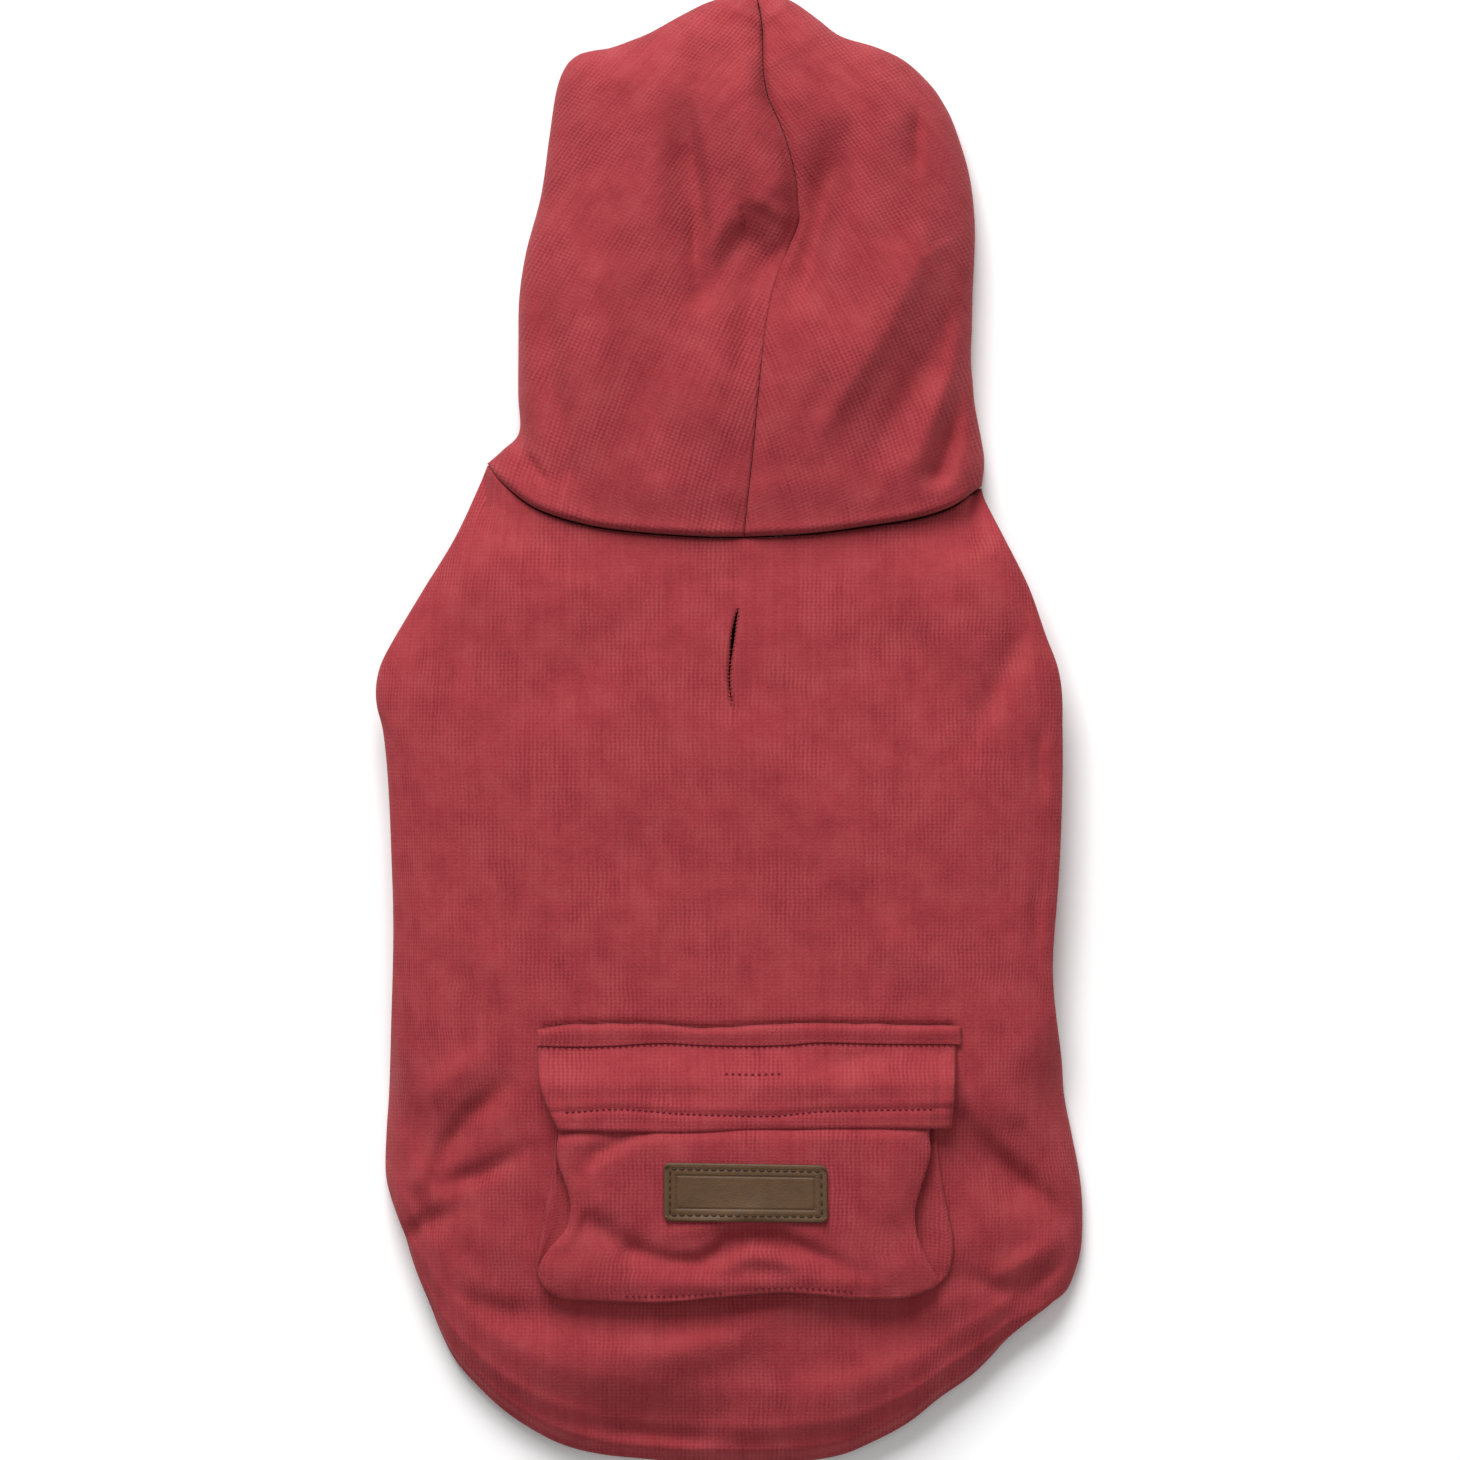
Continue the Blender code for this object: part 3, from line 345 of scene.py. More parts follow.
def near(off, width):
    """1 at no distance, fading smoothly to 0 past the width."""
    return np.exp(-((off / width) ** 2))


def lengths_along(points):
    """Length from the first point of a line to each of its points."""
    steps = np.linalg.norm(np.diff(points, axis=0), axis=1)
    return np.concatenate([[0.0], np.cumsum(steps)])


def line_through(points, shares):
    """A function of the share of the way along a line of points."""
    return lambda share: np.stack([np.interp(share, shares, points[:, k]) for k in range(2)], axis=-1)


def smooth_curve(points, scale=MM):
    """A function of the share of length along a smooth curve through the points."""
    knots = np.array(points, float) * scale
    knots = np.vstack([2 * knots[0] - knots[1], knots, 2 * knots[-1] - knots[-2]])
    t = np.linspace(0, 1, 12, endpoint=False)[:, None]
    runs = []
    for a, b, c, d in zip(knots, knots[1:], knots[2:], knots[3:]):
        cubic = (3 * b - 3 * c + d - a) * t**3
        runs.append((2 * b + (c - a) * t + (2 * a - 5 * b + 4 * c - d) * t**2 + cubic) / 2)
    fine = np.vstack(runs + [knots[-2:-1]])
    along = lengths_along(fine)
    return line_through(fine, along / along[-1])


def line_at(points, x):
    """The line's y at each x, for lines that run across the pocket."""
    fine = smooth_curve(points)(np.linspace(0, 1, 400))
    return np.interp(x, fine[:, 0], fine[:, 1])


def line_height(rows, along):
    """Height shares along a table of heights, eased between its rows."""
    shares = np.full(np.shape(along), rows[-1].share)
    for low, high in reversed(list(zip(rows, rows[1:]))):
        eased = low.share + (high.share - low.share) * smooth_step(low.along, high.along, along)
        shares = np.where(along <= high.along, eased, shares)
    return shares


def fold_height(folds, x, y):
    """Sum of all folds at the places: each is a ridge or a valley along its path."""
    total = np.zeros(np.shape(x))
    for fold in folds:
        path = np.array(fold.path, float) * MM
        nearest = np.full(np.shape(x), 1e9)
        passed = lengths_along(path)
        place = np.zeros(np.shape(x))
        for start, end, low, high in zip(path, path[1:], passed, passed[1:]):
            run = end - start
            share = np.clip(((x - start[0]) * run[0] + (y - start[1]) * run[1]) / run.dot(run), 0, 1)
            off_x = x - start[0] - run[0] * share
            off_y = y - start[1] - run[1] * share
            away = np.maximum(np.hypot(off_x, off_y), 1e-9)
            on_left = (run[0] * off_y - run[1] * off_x) / away / np.linalg.norm(run)
            off = away / ((fold.left + fold.right + (fold.left - fold.right) * on_left) / 2 * MM)
            place = np.where(off < nearest, (low + (high - low) * share) / passed[-1], place)
            nearest = np.minimum(nearest, off)
        strength = fold.first + (1 - fold.first) * smooth_step(0.0, 0.4, place)
        strength = strength * (fold.last + (1 - fold.last) * smooth_step(0.0, 0.4, 1 - place))
        total += fold.rise * MM * strength * np.exp(-nearest**2)
    return total


def rumple(x, y, size, seed):
    """Soft uneven ups and downs from -1 to 1, about one size apart, the same each time."""
    lattice = np.random.default_rng(seed).uniform(-1, 1, (64, 64))
    turn = 0.4 + 0.7 * seed
    u = (x * math.cos(turn) + y * math.sin(turn)) / size + 32.3
    v = (y * math.cos(turn) - x * math.sin(turn)) / size + 32.7
    i = np.floor(u).astype(int)
    j = np.floor(v).astype(int)
    s = smooth_step(0, 1, u - i)
    t = smooth_step(0, 1, v - j)
    low = lattice[j % 64, i % 64] * (1 - s) + lattice[j % 64, (i + 1) % 64] * s
    high = lattice[(j + 1) % 64, i % 64] * (1 - s) + lattice[(j + 1) % 64, (i + 1) % 64] * s
    return low * (1 - t) + high * t


def rumpled(layers, x, y):
    """The height of some layers of rumples together."""
    return sum(layer.rise * MM * rumple(x, y, layer.size * MM, layer.seed) for layer in layers)


def cloth_between(front, back, left, right, across, along):
    """Places between four curves that meet at their ends, a row for each step along."""
    u = across[None, :, None]
    v = along[:, None, None]
    ruled = front(across)[None] * (1 - v) + back(across)[None] * v
    ruled = ruled + left(along)[:, None] * (1 - u) + right(along)[:, None] * u
    corners = (front(0.0) * (1 - u) + front(1.0) * u) * (1 - v)
    return ruled - corners - (back(0.0) * (1 - u) + back(1.0) * u) * v


def straightened(line, start):
    """The line with its last part, from a share of its length on, drawn straight."""
    def drawn(share):
        share = np.asarray(share, float)[..., None]
        onward = np.clip((share - start) / (1 - start), 0, 1)
        straight = line(start) * (1 - onward) + line(1.0) * onward
        return np.where(share < start, line(share[..., 0]), straight)
    return drawn


def crowded_at_edges(count):
    s = np.linspace(0, 1, count + 1)
    return 0.5 * s + 0.5 * (0.5 - 0.5 * np.cos(math.pi * s))


def crowded_at_end(count):
    s = np.linspace(0, 1, count + 1)
    return 0.55 * s + 0.45 * np.sin(math.pi / 2 * s)


def inward(points, centre, first, last, blend, rounds=60):
    """The level direction into the coat at each point of an edge, turned to the first and the last
    direction given at its two ends."""
    run = np.gradient(points, axis=0)
    run /= np.linalg.norm(run, axis=1)[:, None]
    turns = np.stack([-run[:, 1], run[:, 0]], axis=1)
    half_way = len(points) // 2
    if turns[half_way].dot(centre - points[half_way]) < 0:
        turns = -turns
    for _ in range(rounds):
        turns[1:-1] = (turns[:-2] + turns[1:-1] + turns[2:]) / 3
    share = np.linspace(0, 1, len(points))[:, None]
    turns = first + (turns - first) * smooth_step(0.0, blend, share)
    turns = turns + (last - turns) * smooth_step(1 - blend, 1.0, share)
    return turns / np.linalg.norm(turns, axis=1)[:, None]


def rolled_edge(edge, turns, drop, steps):
    """Strips that roll a panel's edge a quarter turn, in and down by the drop at each point."""
    strips = []
    for k in range(1, steps + 1):
        angle = math.pi / 2 * k / steps
        place = edge[:, :2] + turns * (drop * (1 - math.cos(angle)))[:, None]
        strips.append(np.column_stack([place, edge[:, 2] - drop * math.sin(angle)]))
    return strips


# Panels of cloth

def grid_at(places):
    """A grid of cells with its corners at their places, and the row and column of each corner."""
    tall, wide = places.shape[:2]
    shape = bmesh.new()
    bmesh.ops.create_grid(shape, x_segments=wide - 1, y_segments=tall - 1, size=1.0)
    spots = []
    for corner in shape.verts:
        column = round((corner.co.x + 1) / 2 * (wide - 1))
        row = round((corner.co.y + 1) / 2 * (tall - 1))
        spots.append((row, column))
        corner.co = places[row, column]
    return shape, np.array(spots)


def cloth_lines(places, middle):
    """Places of each grid point on the flat cloth, in mm: across and along the wales."""
    across = np.linalg.norm(np.diff(places, axis=1), axis=2)
    across = np.concatenate([np.zeros((len(places), 1)), np.cumsum(across, axis=1)], axis=1)
    across += (places[:, middle, 0] - across[:, middle])[:, None]
    return np.stack([across, places[:, :, 1]], axis=2) / MM


def finished(shape, name, smooth=True, shelf=coat):
    """The shape as a new object."""
    mesh = bpy.data.meshes.new(name)
    shape.to_mesh(mesh)
    shape.free()
    if smooth:
        mesh.shade_smooth()
    made = bpy.data.objects.new(name, mesh)
    shelf.objects.link(made)
    return made


def apply_modifier(made, name):
    with bpy.context.temp_override(object=made, active_object=made):
        bpy.ops.object.modifier_apply(modifier=name)


def make_panel(name, places, lines, thick, facing=1, sew=None):
    """A panel of cloth: a grid moved to its places, and thickened away from the side that it faces.
    What sew does, such as cutting a slit or closing a tube, comes before the thickening."""
    shape, spots = grid_at(places)
    web = shape.loops.layers.uv.new("cloth")
    flat = [tuple(lines[row, column]) for row, column in spots]
    shape.verts.index_update()
    for face in shape.faces:
        for loop in face.loops:
            loop[web].uv = flat[loop.vert.index]
    if sew:
        sew(shape, spots)
    bmesh.ops.recalc_face_normals(shape, faces=shape.faces)
    up = sum(face.normal.z for face in shape.faces)
    if up * facing < 0:
        bmesh.ops.reverse_faces(shape, faces=shape.faces)
    made = finished(shape, name)
    wall = made.modifiers.new("wall", "SOLIDIFY")
    wall.thickness = thick
    wall.offset = -1.0
    wall.use_quality_normals = True
    return made


def surface_of(places):
    """The panel's outer surface, to lay other pieces on."""
    shape = grid_at(places)[0]
    tree = BVHTree.FromBMesh(shape)
    shape.free()
    return tree


def height_on(trees, x, y):
    """Height of the highest of some surfaces below each place."""
    flat_x = np.ravel(x)
    flat_y = np.ravel(y)
    heights = np.zeros(len(flat_x))
    for k in range(len(flat_x)):
        for tree in trees:
            hit = tree.ray_cast(Vector((flat_x[k], flat_y[k], 1.0)), Vector((0, 0, -1)))[0]
            if hit:
                heights[k] = max(heights[k], hit.z)
    return heights.reshape(np.shape(x))


def dress(made, look, slot, *nodes):
    made.data.materials.clear()
    made.data.materials.append(look)
    if nodes:
        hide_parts(*nodes)
    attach(made, "root")
    return made


def underside(x, y):
    """Height of the underside of the body above the table: it rides up over the sleeves."""
    over = smooth_step(sleeve_inner - ride_up, sleeve_inner, np.abs(x))
    ahead = 1 - smooth_step(sleeve_front + ride_up / 2, sleeve_front + 1.5 * ride_up, y)
    behind = smooth_step(sleeve_rear - 1.5 * ride_up, sleeve_rear - ride_up / 2, y)
    return sleeve_rise * over * ahead * behind


def neck_top(x):
    """Height of the two panels' edges along the neck seam."""
    share = np.clip(np.abs(x) / neck_half, 0.0, 1.0)
    return side_roll + (neck_height - side_roll) * shoulder(share)


# Body

def back_outline(across, along):
    """Level places between the back's edges. The notches at the lobes show near the sides only."""
    left = smooth_curve(left_side)
    right = smooth_curve(right_side)
    left_plain = straightened(left, lobe_start)
    right_plain = straightened(right, lobe_start)
    flat = cloth_between(smooth_curve(neck_seam), smooth_curve(tail), left_plain, right_plain, across, along)
    for line, plain, inside in ((left, left_plain, across), (right, right_plain, 1 - across)):
        near_edge = 1 - smooth_step(0.0, 0.10, inside)
        flat = flat + (line(along) - plain(along))[:, None] * near_edge[None, :, None]
    return flat


def back_heights(x, y, across, along):
    """Heights of the back: domed and folded, gathered at the neck and tucked under the strip."""
    u = across[None, :]
    v = along[:, None]
    left_edge = (underside(x[:, 0], y[:, 0]) + side_roll)[:, None]
    right_edge = (underside(x[:, -1], y[:, -1]) + side_roll)[:, None]
    edge = left_edge * (1 - u) + right_edge * u
    middle = line_height(back_line, v) * body_height
    high = edge + (middle - edge) * shoulder(2 * u - 1)
    inside = 1 - np.abs(2 * u - 1)
    fade = smooth_step(0.0, 0.10, inside) * smooth_step(0.0, 0.03, v)
    high = high + (fold_height(back_folds, x, y) + rumpled(back_rumples, x, y)) * fade
    gathers = np.sin(x / (3.4 * MM) + 2.2 * rumple(x, y, 14 * MM, 9))
    down = (smooth_curve(neck_seam)(across)[None, :, 1] - y) / MM
    high = high + 0.28 * MM * gathers * near(down - 3.0, 7.0) * smooth_step(0.1, 0.3, inside)
    high = neck_top(x) + (high - neck_top(x)) * smooth_step(0.0, 0.07, v)
    high = high - 0.7 * MM * near(down, 1.4) * smooth_step(0.02, 0.15, inside)
    from_left = smooth_step(pocket_left, pocket_left + 4 * MM, x)
    on_strip = from_left * (1 - smooth_step(pocket_right - 4 * MM, pocket_right, x))
    tucked = (y - line_at(strip_top, x)) / MM
    high = high - 2.2 * MM * on_strip * near(tucked + 0.9, 1.7)
    over_belly = smooth_step(hem_y - 20 * MM, hem_y, y)
    lowest = cloth + (underside(x, y) + cloth + 0.8 * MM) * over_belly
    return lowest + np.logaddexp(0.0, (high - lowest) / (0.6 * MM)) * 0.6 * MM


def turned_side(edge, corner, to_hem):
    """A side of the back rolled under and turned in, in strips from its edge on."""
    to_throat = throat - np.array(corner) * MM
    to_throat /= np.linalg.norm(to_throat)
    turns = inward(edge[:, :2], body_middle, to_throat, np.array(to_hem) / math.sqrt(2), 0.12)
    strips = rolled_edge(edge, turns, np.full(len(edge), side_roll), 8)
    for depth in (0.75, 1.0):
        place = edge[:, :2] + turns * side_turn * depth
        strips.append(np.column_stack([place, underside(place[:, 0], place[:, 1])]))
    return strips


def back_places():
    """The back panel with its sides turned under, as one grid, and its middle column."""
    wide, tall = 150, 230
    across = crowded_at_edges(wide)
    along = np.linspace(0, 1, tall + 1)
    flat = back_outline(across, along)
    top = np.dstack([flat, back_heights(flat[:, :, 0], flat[:, :, 1], across, along)])
    left = np.stack(turned_side(top[:, 0], neck_seam[0], (1.0, 1.0))[::-1], axis=1)
    right = np.stack(turned_side(top[:, -1], neck_seam[-1], (-1.0, 1.0)), axis=1)
    return np.concatenate([left, top, right], axis=1), left.shape[1] + wide // 2


def slit_gap(down):
    """How far apart the slit's lips are: open in the upper third, nearly together below."""
    return slit_open * math.sin(math.pi * down) ** 0.5 * (1 - 0.6 * float(smooth_step(0.25, 0.6, down)))


def bend_to_slit(places):
    """Draw the columns next to the slit onto its line, and find the column that it is cut along."""
    samples = smooth_curve(slit_line)(np.linspace(0, 1, 60))
    column = int(np.argmin(np.abs(places[int(len(places) * 0.13), :, 0] - 1.5 * MM)))
    y = places[:, column, 1]
    goal = np.interp(y, samples[::-1, 1], samples[::-1, 0])
    window = smooth_step(-15 * MM, slit_low, y) * (1 - smooth_step(slit_high, slit_high + 20 * MM, y))
    shift = (goal - places[:, column, 0]) * window
    beside = near(places[:, :, 0] - places[:, column, 0][:, None], 16 * MM)
    places[:, :, 0] += shift[:, None] * beside
    off = places[:, :, 0] - places[:, column, 0][:, None]
    lips = near(np.abs(off) - 1.6 * MM, 1.5 * MM) - 0.9 * near(off, 1.0 * MM)
    share = np.clip((y - slit_low) / (slit_high - slit_low), 0, 1)
    opened = np.sin(math.pi * share) ** 0.4
    places[:, :, 2] += 0.55 * MM * lips * opened[:, None]
    return column


def cut_slit(column, rows):
    """Part the cloth along one column between two rows and draw its two lips a little apart."""
    first, last = rows

    def cut(shape, spots):
        shape.verts.ensure_lookup_table()
        on_line = {k for k, (row, col) in enumerate(spots) if col == column and first <= row <= last}
        edges = [e for e in shape.edges if e.verts[0].index in on_line and e.verts[1].index in on_line]
        places = {tuple(round(c, 7) for c in shape.verts[k].co): spots[k][0] for k in on_line}
        bmesh.ops.split_edges(shape, edges=edges)
        for corner in shape.verts:
            row = places.get(tuple(round(c, 7) for c in corner.co))
            if row is None or row in (first, last):
                continue
            middle = sum(face.calc_center_median().x for face in corner.link_faces) / len(corner.link_faces)
            side = 1 if middle > corner.co.x else -1
            corner.co.x += side * slit_gap((row - first) / (last - first)) / 2
    return cut


def make_back(look):
    places, middle = back_places()
    column = bend_to_slit(places)
    y = places[:, column, 1]
    rows = (int(np.argmin(np.abs(y - slit_high))), int(np.argmin(np.abs(y - slit_low))))
    lines = cloth_lines(places, middle)
    made = make_panel("back_cloth", places, lines, cloth, 1, cut_slit(column, rows))
    dress(made, look, "red_knit", "back_panel")
    return places, column, rows


# Hood

def hood_outline(edge, sign, across, along):
    """Level places of one half of the hood, and the y of its neck edge at each column."""
    neck = smooth_curve(neck_seam)
    fine = np.linspace(0, 1, 2001)
    join = fine[np.argmin(np.abs(neck(fine)[:, 0] - hood_seam[0][0] * MM))]
    corner_share = 0.0 if sign < 0 else 1.0

    def front(share):
        return neck(join + (corner_share - join) * share) + np.array([0.0, 0.25 * MM])

    def tip(share):
        return np.broadcast_to(np.array(hood_seam[-1]) * MM, (*np.shape(share), 2))

    flat = cloth_between(front, tip, smooth_curve(hood_seam), smooth_curve(edge), across, along)
    return flat + np.array([sign * 0.10 * MM, 0.0]), front(across)[:, 1]


def hood_heights(flat, neck_edge, own_folds, across, along):
    """Heights of one half: domed and folded, sunk at the middle seam, bulging over the neck seam."""
    x = flat[:, :, 0]
    y = flat[:, :, 1]
    u = across[None, :]
    v = along[:, None]
    roll = side_roll + (hood_roll - side_roll) * smooth_step(0.0, 0.25, v)
    middle = np.maximum(line_height(hood_line, v) * hood_height, roll)
    high = roll + (middle - roll) * shoulder(u)
    dip = 1.6 * MM * near(u, 0.035) + 0.8 * MM * near(u, 0.12)
    inside = (1 - u) * np.linalg.norm(flat[:, 0] - flat[:, -1], axis=1)[:, None]
    fade = smooth_step(0.0, 14 * MM, inside) * smooth_step(0.0, 0.06, v)
    seam_x = x[:, :1]
    seam_y = y[:, :1]
    at_seam = fold_height(right_hood_folds, seam_x, seam_y) - fold_height(own_folds, seam_x, seam_y)
    folds = fold_height(own_folds, x, y) + at_seam * near(np.hypot(x - seam_x, y - seam_y), 4 * MM)
    high = high + (folds + rumpled(hood_rumples, x, y)) * fade - dip * smooth_step(0.0, 10 * MM, inside)
    up = (y - neck_edge[None]) / MM
    high = neck_top(x) + (high - neck_top(x)) * (1 - np.exp(-np.maximum(up, 0) / 0.6))
    high = high + 0.5 * MM * near(up - 1.6, 2.2) * smooth_step(0.0, 12 * MM, inside)
    high = high - 0.6 * MM * near(up, 0.8) * smooth_step(0.0, 10 * MM, inside)
    return np.maximum(high, roll * 0.9)


def hood_rim(edge, sign, along):
    """The edge rolled down to the table and in as far as the face opening, in strips."""
    steps = 8
    to_throat = throat - edge[0, :2]
    throat_width = np.linalg.norm(to_throat)
    backward = np.array([0.0, -1.0])
    turns = inward(edge[:, :2], hood_middle, to_throat / throat_width, backward, 0.15, 400)
    drop = edge[:, 2]
    strips = rolled_edge(edge, turns, drop, steps)
    width = rim_inset + (throat_width - rim_inset) * (1 - smooth_step(0.0, 0.30, along))
    across_x = np.where(np.abs(turns[:, 0]) > 1e-3, turns[:, 0], 1e-3)
    to_middle = (throat[0] + sign * 0.2 * MM - edge[:, 0]) / across_x
    width = np.where(turns[:, 0] * sign < -1e-3, np.clip(to_middle, 0.0, width), width)
    for k in range(1, steps + 1):
        reach = drop + (width - drop) * k / steps
        place = edge[:, :2] + turns * reach[:, None]
        strips.append(np.column_stack([place, np.zeros(len(place))]))
    return strips


def hood_lines(places, wide, sign):
    """The hood's wales lean away from its middle seam, as the panel was cut."""
    lines = cloth_lines(places, 0)
    flat_x = places[:, :, 0] / MM
    flat_y = places[:, :, 1] / MM
    climb = (places[:, :, 1] - neck_y) / MM
    leaned = 0.20 * climb + 0.0019 * np.maximum(climb, 0) ** 2
    planar = (flat_x + sign * leaned) * hood_wale_share
    beyond = np.abs(lines[:, :, 0] - lines[:, wide : wide + 1, 0])
    turned = np.arange(places.shape[1])[None] > wide
    lines[:, :, 0] = np.where(turned, planar[:, wide : wide + 1] + sign * beyond, planar)
    lines[:, :, 1] = (flat_y - sign * 0.4 * flat_x) * hood_wale_share
    return lines


def hood_half(name, edge, own_folds, sign, look):
    """One half of the hood: from the middle seam over its crown, round its edge to the face opening."""
    wide, tall = 96, 190
    across = crowded_at_end(wide)
    along = np.linspace(0, 1, tall + 1)
    flat, neck_edge = hood_outline(edge, sign, across, along)
    top = np.dstack([flat, hood_heights(flat, neck_edge, own_folds, across, along)])
    places = np.concatenate([top, np.stack(hood_rim(top[:, -1], sign, along), axis=1)], axis=1)
    made = make_panel(name + "_cloth", places, hood_lines(places, wide, sign), cloth)
    dress(made, look, "red_knit", name)


# Belly and sleeves

def belly_places(back):
    """The belly lies under the back, between the turned edges of its sides."""
    left = back[:, 0, :2] + np.array([0.4 * MM, 0.0])
    right = back[:, -1, :2] - np.array([0.4 * MM, 0.0])
    low = throat - np.array([0.0, 0.8 * MM])
    front = smooth_curve([left[0], (left[0] + low) / 2, low, (right[0] + low) / 2, right[0]], 1.0)
    hem_middle = (left[-1] + right[-1]) / 2 + np.array([0.0, 17 * MM])
    hem = smooth_curve([left[-1], left[-1] * 0.4 + hem_middle * 0.6, hem_middle,
                        right[-1] * 0.4 + hem_middle * 0.6, right[-1]], 1.0)
    along = np.linspace(0, 1, len(back))
    across = np.linspace(0, 1, 91)
    flat = cloth_between(front, hem, line_through(left, along), line_through(right, along), across, along)
    return np.dstack([flat, underside(flat[:, :, 0], flat[:, :, 1])])


def cut_armhole(made, centre_x):
    """Cut an oval hole through the belly, where a sleeve goes in."""
    place = Matrix.Translation((centre_x, armhole_y, sleeve_rise)) @ Matrix.Diagonal((*armhole_size, 1.0))
    hole = bmesh.new()
    bmesh.ops.create_cone(hole, cap_ends=True, segments=40, radius1=0.5, radius2=0.5, depth=1.0, matrix=place)
    cutter = finished(hole, "armhole", smooth=False)
    opening = made.modifiers.new("armhole", "BOOLEAN")
    opening.operation = "DIFFERENCE"
    opening.solver = "EXACT"
    opening.object = cutter
    apply_modifier(made, "armhole")
    bpy.data.objects.remove(cutter)


def make_belly(back, look):
    places = belly_places(back)[::2]
    made = make_panel("belly_cloth", places, cloth_lines(places, places.shape[1] // 2), cloth, -1)
    apply_modifier(made, "wall")
    for node in ("sleeve_left", "sleeve_right"):
        low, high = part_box(node)
        cut_armhole(made, (low[0] + high[0]) / 2)
    dress(made, look, "red_knit", "belly_panel")


def sleeve_taper(y):
    """How far the sleeve's outer edge draws in from its widest place."""
    places, drawn_in = zip(*sleeve_edge)
    return float(np.interp(y / MM, places, drawn_in)) * MM


def squared(wave):
    """A sine or cosine filled out, so that a ring of them is a rounded box."""
    return np.sign(wave) * np.abs(wave) ** 0.72


def sleeve_places(centre_x, half):
    """Rings from the armhole round the bend under it and back along the table to the cuff."""
    around, bends, along = 72, 14, 60
    angle = np.linspace(0, 2 * math.pi, around + 1)
    across = squared(np.cos(angle))
    lift = squared(np.sin(angle))
    hinge = np.array([bend_y, sleeve_height + bend_gap])
    at_bend = sleeve_taper(bend_y)
    rings = []
    for k in range(bends + 1):
        turn = math.pi / 2 * k / bends
        reach = np.array([math.cos(turn), -math.sin(turn)])
        half_high = min(16.4 * MM, sleeve_height / 2 / max(math.sin(turn), 0.01))
        half_wide = armhole_half + (half - at_bend - armhole_half) * float(smooth_step(0, bends, k))
        place = hinge[:, None] + reach[:, None] * (bend_gap + half_high - lift[None] * half_high)
        rings.append(np.column_stack([centre_x + across * half_wide, place[0], place[1]]))
    outward = 0.5 + 0.5 * across * math.copysign(1, centre_x)
    for k in range(1, along + 1):
        share = k / along
        y = bend_y - sleeve_length * share
        level = np.full_like(across, y)
        inner = max(cuff_draw * share, at_bend)
        x = centre_x + across * (half - inner + (inner - sleeve_taper(y)) * outward)
        creases = 0.5 * MM * rumple(x, level, 14 * MM, 21)
        hem = -0.35 * MM * near(y - (bend_y - sleeve_length + sleeve_hem), 0.8 * MM)
        z = sleeve_height / 2 * (1 + lift)
        z = np.where(lift > 0, z + (creases + hem) * np.maximum(lift, 0) * min(1, 6 * (1 - share)), z)
        rings.append(np.column_stack([x, level, np.clip(z, 0, sleeve_height + 0.5 * MM)]))
    return np.stack(rings)


def close_tube(shape, spots):
    """Join the first and last columns, which lie on each other."""
    bmesh.ops.remove_doubles(shape, verts=shape.verts, dist=1e-6)


def make_sleeves(look):
    """The sleeves come down out of their armholes and lie flat, with a turned hem at the end."""
    for node in ("sleeve_left", "sleeve_right"):
        low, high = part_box(node)
        places = sleeve_places((low[0] + high[0]) / 2, (high[0] - low[0]) / 2)
        made = make_panel(node + "_cloth", places, cloth_lines(places, 0), cloth, 1, close_tube)
        dress(made, look, "red_knit", node)


# Pocket

def bag_places(trees):
    wide, tall = 130, 70
    across = crowded_at_edges(wide)
    along = np.linspace(0, 1, tall + 1)
    flat = cloth_between(smooth_curve(bag_mouth), smooth_curve(bag_bottom), smooth_curve(bag_left),
                         smooth_curve(bag_right), across, along)
    x = flat[:, :, 0]
    y = flat[:, :, 1]
    u = across[None, :]
    v = along[:, None]
    puff = bag_puff * line_height(bag_line, v) * (0.70 + 0.30 * shoulder(2 * u - 1))
    inside = np.minimum(1 - np.abs(2 * u - 1), 2 * (1 - v))
    ground = height_on(trees, x, y)
    folds = fold_height(bag_folds, x, y) + rumpled(bag_rumples, x, y)
    high = ground + puff + folds * smooth_step(0.0, 0.10, inside)
    high = np.maximum(high, ground + lay_gap + pocket_cloth + 1.2 * MM)
    return np.dstack([x, y, high])


def gusset_base(points):
    """Where the bag's gusset meets the back, level, beyond each point of the front's edge."""
    base = points[:, :2].copy()
    for line, side in ((gusset_left, -1), (gusset_right, 1)):
        line = smooth_curve(line)(np.linspace(0, 1, 80))
        outer_x = np.interp(points[:, 1], line[::-1, 1], line[::-1, 0])
        ours = (points[:, 0] - bag_middle[0]) * side > 50 * MM
        beside = (points[:, 1] <= line[0, 1]) & (points[:, 1] >= line[-1, 1])
        wider = (outer_x - points[:, 0]) * side > 0
        base[:, 0] = np.where(ours & beside & wider, outer_x, base[:, 0])
    for _ in range(8):
        base[1:-1] = (base[:-2] + base[1:-1] + base[2:]) / 3
    return base


